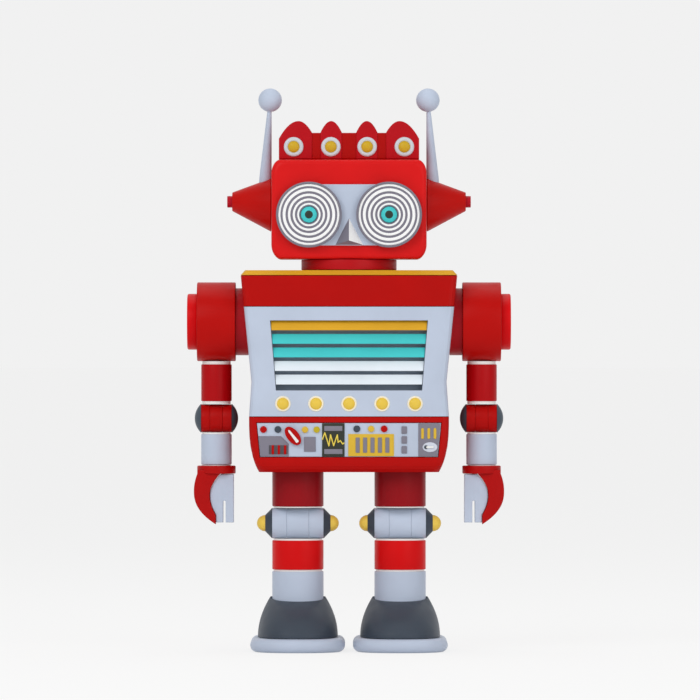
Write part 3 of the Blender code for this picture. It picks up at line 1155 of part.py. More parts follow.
def make_hand(side, sign):
    x, front = sign * ARM_X, BODY_Y - CLAW_DEPTH / 2
    name = f"hand_shell_{side}"
    spigot_top = CUFF_TOP + WRIST_GAP + WRIST_SPIGOT_LENGTH
    cuff = [(0, spigot_top), (WRIST_SPIGOT_RADIUS, spigot_top), (WRIST_SPIGOT_RADIUS, CUFF_TOP),
            (CUFF_RADIUS, CUFF_TOP), (CUFF_RADIUS, CUFF_BOTTOM), (0, CUFF_BOTTOM)]
    shell = turned(name, cuff, "Z", (x, BODY_Y, 0), "red_enamel")
    outer, inner = claw_curves()
    lap = CUFF_HEIGHT / 2
    edge = [(outer[0][0], -lap)] + outer + list(reversed(inner)) + [(inner[0][0], -lap)]
    claw_points = [(x + sign * u, CUFF_BOTTOM - v) for u, v in edge]
    unite(shell, outline(f"{name}_claw", claw_points, front, front + CLAW_DEPTH))
    palm = [(u - CLEARANCE - 0.0001, max(v, CLEARANCE)) for u, v in inner]
    slit_out = -HAND_INNER + FINGER_WIDTH + FINGER_SLIT
    slit_top = HAND_LENGTH - FINGER_SLIT_HEIGHT
    fingers = palm + [(palm[-1][0], HAND_LENGTH), (slit_out, HAND_LENGTH), (slit_out, slit_top),
                      (slit_out - FINGER_SLIT, slit_top), (slit_out - FINGER_SLIT, HAND_LENGTH),
                      (-HAND_INNER, HAND_LENGTH), (-HAND_INNER, CLEARANCE)]
    front = BODY_Y - HAND_DEPTH / 2
    finger_points = [(x + sign * u, CUFF_BOTTOM - v) for u, v in fingers]
    outline(f"hand_fingers_{side}", finger_points, front, front + HAND_DEPTH, "blue_grey_enamel")


# Joint axes: an empty on each axis carries the pieces that turn or slide there

def attach(obj, axis):
    """Makes an object the child of an axis empty, and leaves it where it stands."""
    obj.parent = axis
    obj.matrix_parent_inverse = Matrix.Translation(axis["stands_at"]).inverted()


def carry(name, at, pieces, above=None):
    axis = bpy.data.objects.new(name, None)
    axis.empty_display_size = 0.01
    axis.location = at
    axis["stands_at"] = at
    PARTS.objects.link(axis)
    if above:
        attach(axis, above)
    for piece in pieces:
        attach(bpy.data.objects[piece], axis)
    return axis


def make_axes():
    head = ["head_shell", "face_plate", "crest", "crest_lamps"]
    head += [f"{piece}_{side}" for piece in ("eye_disc", "eye_iris", "ear", "antenna") for side in SIDES]
    carry("neck_axis", (0, BODY_Y, NECK_TOP), head)
    carry("selector_axis", (KNOB_PLACE[0], PANEL_FACE, PANEL_BOTTOM + KNOB_PLACE[1]), ["selector_knob"])
    carry("switch_axis", (SWITCH_PLACE[0], PANEL_FACE, PANEL_BOTTOM + SWITCH_PLACE[1]), ["power_switch"])
    for side, sign in SIDES.items():
        arm, leg = sign * ARM_X, sign * LEG_X
        shoulder = carry(f"shoulder_axis_{side}", (arm, BODY_Y, SHOULDER_Z),
                         [f"shoulder_drum_{side}", f"shoulder_cap_{side}", f"upper_arm_{side}",
                          f"elbow_rivet_{side}"])
        elbow = carry(f"elbow_axis_{side}", (arm, BODY_Y, ELBOW_Z),
                      [f"elbow_knuckle_{side}", f"forearm_{side}"], shoulder)
        carry(f"wrist_axis_{side}", (arm, BODY_Y, CUFF_TOP),
              [f"hand_shell_{side}", f"hand_fingers_{side}"], elbow)
        hip = carry(f"hip_axis_{side}", (leg, BODY_Y, HIP_Z),
                    [f"thigh_{side}", f"knee_yoke_{side}", f"knee_rivet_{side}"])
        carry(f"knee_axis_{side}", (leg, BODY_Y, KNEE_Z),
              [f"knee_knuckle_{side}", f"shin_{side}", f"ankle_{side}", f"boot_{side}", f"sole_{side}"], hip)


def main():
    make_torso_shell()
    make_top_plate()
    make_chest_plate()
    make_chest_lamps()
    make_louvre()
    make_back_cover()
    make_axles()
    make_panel()
    make_selector_knob()
    make_power_switch()
    make_neck()
    make_head_shell()
    make_face_plate()
    make_crest()
    for side, sign in SIDES.items():
        make_eye(side, sign)
        make_ear(side, sign)
        make_antenna(side, sign)
        make_shoulder(side, sign)
        make_upper_arm(side, sign)
        make_elbow_rivet(side, sign)
        make_forearm(side, sign)
        make_hand(side, sign)
        make_thigh(side, sign)
        make_knee(side, sign)
        make_shin(side, sign)
        make_ankle(side, sign)
        make_boot(side, sign)
        make_sole(side, sign)
    make_axes()


main()
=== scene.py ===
import math

import bmesh
import bpy
import numpy as np
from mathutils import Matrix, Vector


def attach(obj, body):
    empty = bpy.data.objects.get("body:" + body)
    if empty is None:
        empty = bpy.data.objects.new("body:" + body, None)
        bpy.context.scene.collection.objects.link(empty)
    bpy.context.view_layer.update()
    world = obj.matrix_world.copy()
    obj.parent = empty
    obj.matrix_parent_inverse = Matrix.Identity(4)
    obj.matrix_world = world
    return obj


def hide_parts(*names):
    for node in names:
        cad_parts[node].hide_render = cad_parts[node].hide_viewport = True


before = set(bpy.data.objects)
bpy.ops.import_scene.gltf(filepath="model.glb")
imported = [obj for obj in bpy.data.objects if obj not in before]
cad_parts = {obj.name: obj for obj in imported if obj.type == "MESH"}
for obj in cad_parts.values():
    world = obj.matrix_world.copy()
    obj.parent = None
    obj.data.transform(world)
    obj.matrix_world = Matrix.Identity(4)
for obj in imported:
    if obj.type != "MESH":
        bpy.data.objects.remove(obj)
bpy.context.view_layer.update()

# Studio: a wide sheet of pale paper under the robot's feet and a plain pale backdrop, lit by three soft boxes.
# The camera looks level along +Y through a very long lens, so the front is drawn almost flat.


def linear(code):
    """Scene-linear colour of a six-digit sRGB code."""
    s = np.array([int(code[i:i + 2], 16) for i in (0, 2, 4)]) / 255
    lin = np.where(s <= 0.04045, s / 12.92, ((s + 0.055) / 1.055) ** 2.4)
    return (*lin.tolist(), 1.0)


def paper_sheet(half, drop, cells=8):
    """Flat sheet just below the soles: a square grid of points along X and Y, from -half to half."""
    line = np.linspace(-half, half, cells + 1)
    x, y = np.meshgrid(line, line)
    grid = np.stack([x, y, np.full_like(x, -drop)], -1).reshape(-1, 3)
    i, j = np.meshgrid(np.arange(cells), np.arange(cells), indexing="ij")
    corner = i * (cells + 1) + j
    beyond = corner + cells + 1
    quads = np.stack([corner, corner + 1, beyond + 1, beyond], -1).reshape(-1, 4)
    mesh = bpy.data.meshes.new("paper_sheet")
    mesh.from_pydata(grid.tolist(), [], quads.tolist())
    made = bpy.data.objects.new("paper_sheet", mesh)
    bpy.context.scene.collection.objects.link(made)
    return made


def backdrop_share(tree, most):
    """Share of the flat backdrop colour: most for camera, glossy and transmission rays, none for other rays."""
    ray = tree.nodes.new("ShaderNodeLightPath")
    shown = ray.outputs["Is Camera Ray"]
    for kind in ("Is Glossy Ray", "Is Transmission Ray"):
        either = tree.nodes.new("ShaderNodeMath")
        either.operation = "MAXIMUM"
        tree.links.new(shown, either.inputs[0])
        tree.links.new(ray.outputs[kind], either.inputs[1])
        shown = either.outputs[0]
    share = tree.nodes.new("ShaderNodeMath")
    share.operation = "MULTIPLY"
    share.inputs[1].default_value = most
    tree.links.new(shown, share.inputs[0])
    return share.outputs[0]


sheet_half, sheet_drop, glow_share = 60.0, 0.0001, 0.8
sheet = paper_sheet(sheet_half, sheet_drop)
paper = bpy.data.materials.new("pale_paper")
paper.use_nodes = True
tree = paper.node_tree
matt = tree.nodes["Principled BSDF"]
matt.inputs["Base Color"].default_value = linear("F4F4F3")
matt.inputs["Roughness"].default_value = 0.9
glow = tree.nodes.new("ShaderNodeEmission")
glow.inputs["Color"].default_value = linear("FDFDFD")
blend_paper = tree.nodes.new("ShaderNodeMixShader")
tree.links.new(backdrop_share(tree, glow_share), blend_paper.inputs["Fac"])
tree.links.new(matt.outputs["BSDF"], blend_paper.inputs[1])
tree.links.new(glow.outputs["Emission"], blend_paper.inputs[2])
tree.links.new(blend_paper.outputs["Shader"], tree.nodes["Material Output"].inputs["Surface"])
sheet.data.materials.append(paper)

world = bpy.data.worlds.new("studio")
world.use_nodes = True
tree = world.node_tree
room = tree.nodes["Background"]
room.inputs["Color"].default_value = (1, 1, 1, 1)
room.inputs["Strength"].default_value = 0.42
backdrop = tree.nodes.new("ShaderNodeBackground")
backdrop.inputs["Color"].default_value = linear("F1F1F1")
blend_world = tree.nodes.new("ShaderNodeMixShader")
tree.links.new(backdrop_share(tree, 1.0), blend_world.inputs["Fac"])
tree.links.new(room.outputs["Background"], blend_world.inputs[1])
tree.links.new(backdrop.outputs["Background"], blend_world.inputs[2])
tree.links.new(blend_world.outputs["Shader"], tree.nodes["World Output"].inputs["Surface"])
bpy.context.scene.world = world

lamp_aim = Vector((0, 0, 0.14))
for lamp_name, place, size, power in (
    ("key_softbox", (-0.9, -1.6, 1.2), 1.2, 14.0),
    ("fill_softbox", (1.1, -1.5, 0.7), 1.4, 8.0),
    ("top_softbox", (0.0, 0.3, 1.7), 1.2, 6.0),
):
    light = bpy.data.lights.new(lamp_name, "AREA")
    light.size = size
    light.energy = power
    lamp = bpy.data.objects.new(lamp_name, light)
    lamp.location = place
    lamp.rotation_euler = (lamp_aim - Vector(place)).to_track_quat("-Z", "Y").to_euler()
    bpy.context.scene.collection.objects.link(lamp)

camera_data = bpy.data.cameras.new("front_camera")
camera_data.lens = 400
camera_data.sensor_width = 36
camera = bpy.data.objects.new("front_camera", camera_data)
camera.location = (0.0005, -3.889, 0.15025)
camera.rotation_euler = (math.pi / 2, 0, 0)
bpy.context.scene.collection.objects.link(camera)
bpy.context.scene.camera = camera
bpy.context.scene.view_settings.view_transform = "Standard"

# Soles: thick pads moulded in pale blue-grey plastic, one under each boot.
# Each has a full round edge all the way round and is pinned up into its boot.


def mesh_of(name, points, faces, bands=None, smooth=38):
    """One closed object of points and faces, doubles merged and normals turned outwards; bands colour the faces."""
    mesh = bpy.data.meshes.new(name)
    mesh.from_pydata(np.asarray(points).tolist(), [], faces)
    if bands is not None:
        mesh.polygons.foreach_set("material_index", np.asarray(bands, np.int32))
    shape = bmesh.new()
    shape.from_mesh(mesh)
    bmesh.ops.remove_doubles(shape, verts=shape.verts, dist=1e-7)
    bmesh.ops.recalc_face_normals(shape, faces=shape.faces)
    shape.to_mesh(mesh)
    shape.free()
    corners = np.empty(len(mesh.polygons), np.int32)
    mesh.polygons.foreach_get("loop_total", corners)
    mesh.polygons.foreach_set("use_smooth", corners < 5)
    mesh.set_sharp_from_angle(angle=math.radians(smooth))
    made = bpy.data.objects.new(name, mesh)
    bpy.context.scene.collection.objects.link(made)
    return made


def ring_faces(count, around, start=0, closed=False):
    """Quads between neighbouring rings, and a flat cap over the first and the last, or quads from last to first."""
    i, j = np.meshgrid(np.arange(count - 1 + closed), np.arange(around), indexing="ij")
    k, above = (j + 1) % around, (i + 1) % count
    quads = np.stack([i * around + j, i * around + k, above * around + k, above * around + j], -1)
    faces = (quads.reshape(-1, 4) + start).tolist()
    if closed:
        return faces
    ends = np.arange(around) + start
    return faces + [ends[::-1].tolist(), (ends + (count - 1) * around).tolist()]


def skin(name, *stacks, bands=None, closed=False):
    """Surface over stacks of closed rings: point (i, j) of a stack is ring i at step j round it.
    bands gives one finish number for each gap between rings; closed joins the last ring to the first."""
    points, faces, marks, start = [], [], [], 0
    for rings in stacks:
        rings = np.asarray(rings, float)
        count, around = rings.shape[:2]
        points.append(rings.reshape(-1, 3))
        faces += ring_faces(count, around, start, closed)
        if bands is not None:
            marks += np.repeat(bands, around).tolist() + [bands[0], bands[-1]]
        start += count * around
    return mesh_of(name, np.concatenate(points), faces, marks if bands is not None else None)


def inset(path, amount):
    """A closed path moved inwards by an amount: each corner goes along the mean of its two edge normals."""
    sharpest = 0.35
    path = np.asarray(path, float)
    ahead = np.roll(path, -1, 0) - path
    ahead /= np.linalg.norm(ahead, axis=1, keepdims=True)
    normal = np.stack([-ahead[:, 1], ahead[:, 0]], -1)
    before = np.roll(normal, 1, 0)
    mean = normal + before
    mean /= np.maximum((mean * normal).sum(1, keepdims=True), sharpest)
    area = np.sum(path[:, 0] * np.roll(path[:, 1], -1) - np.roll(path[:, 0], -1) * path[:, 1])
    return path + mean * amount * np.sign(area)


def rounded_rectangle(width, height, radii, steps=10):
    """Closed path about the middle, anticlockwise, with its own (x, y) radius at each corner from upper right on."""
    turn = np.linspace(0, math.pi / 2, steps + 1)
    paths = []
    for corner, (sx, sy) in enumerate(((1, 1), (-1, 1), (-1, -1), (1, -1))):
        rx, ry = np.broadcast_to(radii[corner], 2)
        angle = turn + corner * math.pi / 2
        x = sx * (width / 2 - rx) + rx * np.cos(angle)
        y = sy * (height / 2 - ry) + ry * np.sin(angle)
        paths.append(np.stack([x, y], -1))
    return np.concatenate(paths)


def enamel(name, code, roughness=0.34, tone=0.045, peel=0.05, worn=0.10):
    """Paint or gloss moulding: its tone drifts by a share with broad noise, its roughness rises by worn with
    middling noise, and its bump is a fine orange peel."""
    gloss, peel_height = 0.11, 0.0002
    broad, middling, fine = (42, 3), (120, 5), (1300, 2)
    made = bpy.data.materials.new(name)
    made.use_nodes = True
    nodes, links = made.node_tree.nodes, made.node_tree.links
    shader = nodes["Principled BSDF"]
    shader.inputs["Specular IOR Level"].default_value = gloss
    place = nodes.new("ShaderNodeTexCoord")

    def noise(scale, detail):
        """Noise over the piece's own coordinates, at a scale and with a number of octaves."""
        node = nodes.new("ShaderNodeTexNoise")
        node.inputs["Scale"].default_value = scale
        node.inputs["Detail"].default_value = detail
        links.new(place.outputs["Object"], node.inputs["Vector"])
        return node.outputs["Fac"]

    ramp = nodes.new("ShaderNodeValToRGB")
    base = np.array(linear(code)[:3])
    for element, position, factor in zip(ramp.color_ramp.elements, (0.3, 0.7), (1 - tone, 1 + tone)):
        element.position = position
        element.color = (*np.minimum(base * factor, 1).tolist(), 1)
    links.new(noise(*broad), ramp.inputs["Fac"])
    links.new(ramp.outputs["Color"], shader.inputs["Base Color"])
    spread = nodes.new("ShaderNodeMapRange")
    spread.inputs["From Min"].default_value = 0.35
    spread.inputs["From Max"].default_value = 0.75
    spread.inputs["To Min"].default_value = roughness
    spread.inputs["To Max"].default_value = roughness + worn
    links.new(noise(*middling), spread.inputs["Value"])
    links.new(spread.outputs["Result"], shader.inputs["Roughness"])
    bump = nodes.new("ShaderNodeBump")
    bump.inputs["Strength"].default_value = peel
    bump.inputs["Distance"].default_value = peel_height
    links.new(noise(*fine), bump.inputs["Height"])
    links.new(bump.outputs["Normal"], shader.inputs["Normal"])
    return made


def fit(piece, body, slot, finishes, *nodes):
    """Paints a piece, sets it on its body, and lets it stand for CAD nodes; slot is not used."""
    for finish in finishes:
        piece.data.materials.append(finish)
    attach(piece, body)
    if nodes:
        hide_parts(*nodes)


blue_grey = enamel("blue_grey_enamel", "C2CDE0")
sides = (("left", 1), ("right", -1))
body_y = 0.008
leg_x = 0.0256
sole_width, sole_length, sole_height, sole_edge = 0.0472, 0.0760, 0.0068, 0.0033
heel_corner, toe_corner = 0.013, 0.021
half_round = np.linspace(-math.pi / 2, math.pi / 2, 13)
sole_corners = (heel_corner, heel_corner, toe_corner, toe_corner)
for side, sign in sides:
    outline = rounded_rectangle(sole_width, sole_length, sole_corners, 12)
    rings = []
    for angle in half_round:
        path = inset(outline, sole_edge * (1 - math.cos(angle)))
        z = sole_height / 2 + (sole_height / 2) * math.sin(angle)
        rings.append(np.column_stack([path[:, 0] + sign * leg_x, path[:, 1], np.full(len(path), z)]))
    fit(skin(f"sole_pad_{side}", rings), f"lower_leg_{side}", "grey_plastic", [blue_grey], f"sole_{side}")

# Boots: deep-drawn tinplate shells in slate enamel, swelling from the ankle's rim to a long rounded foot.
# The rim closes on the leg and dips in front, and the lower edge is folded under and clinched to the sole.

slate = enamel("slate_enamel", "454D58", 0.42)
leg_radius = 0.01285
boot_bottom, boot_height, boot_levels = 0.0071, 0.0197, 26
boot_half, toe_reach, heel_reach = 0.0200, 0.0418, 0.0258
boot_rim, rim_dip = leg_radius + 0.0009, 0.0022
foot_power, dip_power, dip_fade = 0.76, 0.45, 4
boot_lips = ((leg_radius + 0.0001, 0), (leg_radius - 0.0008, 0.003))
around = np.linspace(0, 2 * math.pi, 96, endpoint=False)
c, s = np.cos(around), np.sin(around)
for side, sign in sides:
    rings = []
    dip = rim_dip * np.maximum(-s, 0) ** dip_power
    for share_up in np.linspace(0, 1, boot_levels):
        swell = 1 - share_up ** 2
        half_width = boot_rim + (boot_half - boot_rim) * swell
        toe = boot_rim + (toe_reach - boot_rim) * swell
        heel = boot_rim + (heel_reach - boot_rim) * swell
        power = foot_power + (1 - foot_power) * (1 - swell)
        x = half_width * np.sign(c) * np.abs(c) ** power
        y = np.where(s > 0, heel, toe) * np.sign(s) * np.abs(s) ** power
        z = boot_bottom + share_up * boot_height - dip * share_up ** dip_fade
        rings.append(np.column_stack([sign * leg_x + x, body_y + y, z]))
    rim_z = rings[-1][:, 2]
    for lip, down in boot_lips:
        rings.append(np.column_stack([sign * leg_x + lip * c, body_y + lip * s, rim_z - down]))
    fit(skin(f"boot_shell_{side}", rings), f"lower_leg_{side}", "slate", [slate], f"boot_{side}")

# Leg tubes: rolled tinplate rings, pale at the ankle, bright red at the shin and dark red at the thigh.
# White nylon washers keep the rings apart at each step of the leg.


def turned_rings(profile, axis, centre, steps=64):
    """Rings of a turned piece: profile rows are (radius, place along the axis) and ring i is a circle of that
    radius, about a line through centre along a unit axis."""
    axis = np.asarray(axis, float)
    side_way = np.array([0.0, 0.0, 1.0]) if abs(axis[2]) < 0.9 else np.array([1.0, 0.0, 0.0])
    u = np.cross(side_way, axis)
    u /= np.linalg.norm(u)
    v = np.cross(axis, u)
    profile = np.asarray(profile, float)
    turn = np.linspace(0, 2 * math.pi, steps, endpoint=False)
    circle = np.cos(turn)[:, None] * u + np.sin(turn)[:, None] * v
    return np.asarray(centre) + profile[:, 1, None, None] * axis + profile[:, 0, None, None] * circle


def turned(name, profile, axis, centre, bands=None, steps=64):
    """Turned piece: the surface over its rings, with a finish number for each gap between them."""
    return skin(name, turned_rings(profile, axis, centre, steps), bands=bands)


def bar_profile(radius, low, high, edge=0.0004):
    """Profile of a round bar: each rim is a quarter circle whose radius is the edge."""
    bend = np.linspace(0, math.pi / 2, 5)
    lower = np.column_stack([radius - edge + edge * np.sin(bend), low + edge - edge * np.cos(bend)])
    upper = np.column_stack([radius - edge + edge * np.cos(bend), high - edge + edge * np.sin(bend)])
    return np.concatenate([[[0, low]], lower, upper, [[0, high]]])


UP = (0, 0, 1)
dark_red = enamel("dark_red_enamel", "981019")
bright_red = enamel("bright_red_enamel", "DC0A0E")
white = enamel("white_nylon", "F4F4F2", 0.38, 0.015)
ankle_top, shin_bottom, shin_top = 0.0395, 0.0404, 0.0550
knee_z, knee_radius = 0.0635, 0.0076
thigh_bottom, thigh_top = 0.0720, 0.1029
leg_washer, washer_lap, washer_edge = 0.0121, 0.0002, 0.0001
shin_clear, thigh_clear = 0.0001, 0.0002
for side, sign in sides:
    centre = (sign * leg_x, body_y, 0)
    for tube, low, high, body, slot, finish, node in (
        ("ankle_tube", boot_bottom, ankle_top, "lower_leg", "blue_grey", blue_grey, "ankle"),
        ("shin_tube", shin_bottom, shin_top, "lower_leg", "bright_red", bright_red, "shin"),
        ("thigh_tube", thigh_bottom, thigh_top, "upper_leg", "dark_red", dark_red, "thigh"),
    ):
        fit(turned(f"{tube}_{side}", bar_profile(leg_radius, low, high), UP, centre),
            f"{body}_{side}", slot, [finish], f"{node}_{side}")
    for washer, low, high, body in (
        ("ankle_washer", ankle_top - washer_lap, shin_bottom + washer_lap, "lower_leg"),
        ("shin_washer", shin_top - washer_lap, knee_z - knee_radius - shin_clear, "lower_leg"),
        ("thigh_washer", knee_z + knee_radius + thigh_clear, thigh_bottom + washer_lap, "upper_leg"),
    ):
        fit(turned(f"{washer}_{side}", bar_profile(leg_washer, low, high, washer_edge), UP, centre),
            f"{body}_{side}", "white", [white])

# Knees: a plastic barrel in three knuckles, the outer two hung from the thigh and the middle one on the shin.
# A rivet runs through, with a dark conical collar and a yellow domed head at each end.


def both_ends(profile, centre):
    """Two like turned pieces on a line across the robot: the profile to its left, and mirrored to its right."""
    return [turned_rings(profile * np.array([1, end]), ACROSS, centre) for end in (-1, 1)]


def lens_profile(radius, rise, foot, seat=0.0):
    """Half an ellipse over a short shank: (radius, height), with the ellipse's widest place at the seat."""
    bend = np.linspace(0, math.pi / 2, 13)
    dome = np.column_stack([radius * np.cos(bend), seat + rise * np.sin(bend)])
    dome[-1, 0] = 0
    return np.concatenate([[[0, seat - foot], [radius, seat - foot]], dome])


ACROSS = (1, 0, 0)
yellow = enamel("yellow_dome_gloss", "F3CF5A", 0.22)
knuckle_gap, knuckle_edge = 0.00006, 0.0002
knee_half = 0.0055
knee_seat, cone_end, cone_edge = leg_radius + 0.00003, leg_radius + 0.0035, 0.0001
dome_radius, dome_height, dome_foot = 0.0041, 0.0042, 0.0002
knee_bar = bar_profile(knee_radius, -knee_half, knee_half, knuckle_edge)
knee_outer = bar_profile(knee_radius, knee_half + knuckle_gap, leg_radius, knuckle_edge)
knee_cone = np.array([(0, knee_seat), (knee_radius - cone_edge, knee_seat), (knee_radius, knee_seat + cone_edge),
                      (dome_radius, cone_end), (0, cone_end)])
knee_dome = lens_profile(dome_radius, dome_height, dome_foot, cone_end)
for side, sign in sides:
    centre = (sign * leg_x, body_y, knee_z)
    fit(skin(f"knee_outer_knuckles_{side}", *both_ends(knee_outer, centre)),
        f"upper_leg_{side}", "grey_plastic", [blue_grey], f"knee_yoke_{side}")
    fit(turned(f"knee_middle_knuckle_{side}", knee_bar, ACROSS, centre),
        f"lower_leg_{side}", "grey_plastic", [blue_grey], f"knee_knuckle_{side}")
    fit(skin(f"knee_collars_{side}", *both_ends(knee_cone, centre)),
        f"upper_leg_{side}", "slate_plastic", [slate], f"knee_rivet_{side}")
    fit(skin(f"knee_domes_{side}", *both_ends(knee_dome, centre)), f"upper_leg_{side}", "amber_lens", [yellow])

# Torso: a pressed tinplate shell, a gold chamfered top plate and a pale chest plate folded round the front corners.
# A collar fills the step from the body's side to each shoulder drum; its darker red is painted shade.
# The back cover is held by four slotted steel screws.


def paint(node, finish):
    """Gives a carried-over CAD node one finish in place of what it had."""
    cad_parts[node].data.materials.clear()
    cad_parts[node].data.materials.append(finish)


def pressed_rings(path, steps):
    """Rings of a path in the front view: for each step (draw, y), the path moved inwards by draw, standing at y."""
    rings = []
    for draw, y in steps:
        p = inset(path, draw)
        rings.append(np.column_stack([p[:, 0], np.full(len(p), y), p[:, 1]]))
    return np.stack(rings)


body_red = enamel("body_red_enamel", "B80602")
gold = enamel("gold_enamel", "E2AA2C")
steel = enamel("drawn_steel", "A6A7AA", 0.3)
for node, finish in (
    ("torso_shell", body_red), ("back_cover", body_red), ("top_plate", gold), ("chest_plate", blue_grey),
    ("shoulder_axle", steel), ("hip_axle", steel),
):
    paint(node, finish)

# The collar's darker red is the body's red with painted shade, as it lies in shade beside the drum.
collar_shaded_red = enamel("collar_painted_shade_enamel", "B2141F")
shoulder_z = 0.1644
collar_radius, collar_bore, collar_from, collar_to = 0.0168, 0.0160, 0.0505, 0.0566
collar = np.array([(collar_radius, collar_from), (collar_radius, collar_to),
                   (collar_bore, collar_to), (collar_bore, collar_from)])
for side, sign in sides:
    rings = turned_rings(collar * np.array([1, sign]), ACROSS, (0, body_y, shoulder_z))
    fit(skin(f"shoulder_collar_{side}", rings, closed=True), "torso", "dark_red", [collar_shaded_red])

BACKWARD = (0, 1, 0)
cover_face = 0.0359
screw_x, screw_low, screw_high = 0.0268, 0.1276, 0.1852
screw_radius, half_slot, half_head = 0.0019, 0.0003, 0.0015
seat_deep, seat_proud, seat_edge = 0.0004, 0.0002, 0.0001
screw_seat = bar_profile(screw_radius, -seat_deep, seat_proud, seat_edge)
screw_steps = [(draw, cover_face + out) for draw, out in ((0, 0), (0, 0.0005), (0.0002, 0.0008), (0.0005, 0.0009))]
half_turn = np.linspace(0, math.pi, 17)
screws = []
for x, z in ((-screw_x, screw_low), (screw_x, screw_low), (-screw_x, screw_high), (screw_x, screw_high)):
    screws.append(turned_rings(screw_seat, BACKWARD, (x, cover_face, z), 40))
    for flip in (1, -1):
        path = np.column_stack([x + screw_radius * np.cos(half_turn),
                                z + flip * (half_slot + half_head * np.sin(half_turn))])
        screws.append(pressed_rings(path, screw_steps))
fit(skin("cover_screws", *screws), "torso", "steel", [steel])

# Louvre: five leaning blades in the chest window, gold, teal and pale, over a dark tray.
# Each blade is a glossy strip with rounded lips, pinned at its ends.

teal = enamel("teal_gloss", "4ACED0", 0.28)
pale = enamel("pale_blade_gloss", "EAF3FB", 0.3)
tray_slate = enamel("tray_slate_enamel", "8692A0", 0.5)
paint("louvre_back", tray_slate)
window_top, window_height = 0.1650, 0.0349
window_top_width, window_foot_width = 0.0786, 0.0728
blade_pitch, blade_height, blade_thick = 0.00675, 0.0049, 0.0011
blade_set_back, blade_lean, blade_end_gap = 0.0004, 0.0022, 0.0003
lean_power, lip_power, lip_least = 1.6, 4, 0.08
front_y = -0.018


def blade_rings(row):
    """One blade: a closed strip section of rounded lips, leaning back as it rises, carried across the window."""
    top = window_top - row * blade_pitch
    height = np.linspace(0, 1, 9)
    lean = front_y + blade_set_back + blade_lean * height ** lean_power
    thick = blade_thick * np.sqrt(np.maximum(1 - (2 * height - 1) ** lip_power, lip_least))
    z = top - blade_height * (1 - height)
    section_y = np.concatenate([lean, (lean + thick)[::-1]])
    section_z = np.concatenate([z, z[::-1]])
    share_down = (window_top - section_z) / window_height
    half = (window_top_width + (window_foot_width - window_top_width) * share_down) / 2 - blade_end_gap
    stations = np.linspace(-1, 1, 7)
    return np.stack([np.column_stack([half * t, section_y, section_z]) for t in stations])


for blade_name, rows, finish, slot, node in (
    ("gold_blade", (0,), gold, "gold", "slat_gold"),
    ("teal_blades", (1, 2), teal, "teal", "slats_teal"),
    ("pale_blades", (3, 4), pale, "white", "slats_white"),
):
    fit(skin(blade_name, *[blade_rings(row) for row in rows]), "torso", slot, [finish], node)

# Chest lamps: five amber plastic lenses in a row under the louvre, each in a cream bezel ring.
# The lenses are one moulding behind the plate, and the bezels are pressed over them.


def bezel_profile(inner, outer, rise):
    """A ring of half-round section, closed at its seat."""
    bend = np.linspace(0, math.pi, 13)
    middle, half = (inner + outer) / 2, (outer - inner) / 2
    return np.column_stack([middle + half * np.cos(bend), rise * np.sin(bend)])


FORWARD = (0, -1, 0)
amber = enamel("amber_lens", "F0CC52", 0.18, 0.03, 0.02, 0.05)
cream = enamel("cream_bezel", "FBF3DC", 0.34)
lamp_pitch, lamp_z = 0.01645, 0.1235
lens_radius, lens_rise, lens_foot = 0.0030, 0.0019, 0.0006
bezel_bore, bezel_radius, bezel_rise = 0.0028, 0.0039, 0.0007
chest_lens = lens_profile(lens_radius, lens_rise, lens_foot)
chest_bezel = bezel_profile(bezel_bore, bezel_radius, bezel_rise)
places = [(x, front_y, lamp_z) for x in (np.arange(5) - 2) * lamp_pitch]
fit(skin("chest_lenses", *[turned_rings(chest_lens, FORWARD, p, 40) for p in places]),
    "torso", "amber_lens", [amber], "chest_lamps")
fit(skin("chest_bezels", *[turned_rings(chest_bezel, FORWARD, p, 48) for p in places], closed=True),
    "torso", "white", [cream])

# Control panel: a pale plate let into the belly, with raised plates, bars, keys and buttons in enamel colours.
# The oval selector turns on a shaft, and the slide switch at the right runs in a slot.

mauve = enamel("mauve_grey_enamel", "85828F", 0.4)
scope_dark = enamel("scope_dark", "3A3D36", 0.3)
bar_yellow = enamel("panel_yellow", "E0B93F", 0.34)
olive = enamel("panel_olive", "C5B02A", 0.34)
trace_yellow = enamel("trace_yellow", "F0D75A", 0.34)
gauge_dark = enamel("gauge_dark", "565358", 0.4)
pale_grey = enamel("pale_grey_gloss", "D6DBE8", 0.32)
panel_low, panel_face = 0.0971, -0.0177
panel_height, panel_half_top, panel_half_foot, panel_thick = 0.0168, 0.04585, 0.0442, 0.0014


def plate_rings(path, relief, back=0.0006, edge=0.00025):
    """A raised plate with softened rim: the (x, z) path from behind the panel's face out to the relief."""
    soft = 0.3 * edge
    steps = ((0, -back), (0, relief - edge), (soft, relief - soft), (edge, relief))
    return pressed_rings(path, [(draw, panel_face - out) for draw, out in steps])


def rect(x, z, width, height, corner=0.0003):
    """Small rounded rectangle path about a place on the panel, z measured up from its lower edge."""
    return rounded_rectangle(width, height, (corner,) * 4, 4) + np.array([x, panel_low + z])


def oval(x, z, half_width, half_height, turn=0.0, steps=40):
    """Ellipse path about a place on the panel, turned by an angle."""
    a = np.linspace(0, 2 * math.pi, steps, endpoint=False)
    u, v = half_width * np.cos(a), half_height * np.sin(a)
    return np.column_stack([x + u * math.cos(turn) - v * math.sin(turn),
                            panel_low + z + u * math.sin(turn) + v * math.cos(turn)])


def polygon(points):
    """Path through listed corners, z measured up from the panel's lower edge."""
    return np.array(points) + np.array([0, panel_low])


def fitting(name, paths, relief, finish, slot):
    """Details of one colour, standing to one relief, fixed to the torso."""
    fit(skin(name, *[plate_rings(p, relief) for p in paths]), "torso", slot, [finish])


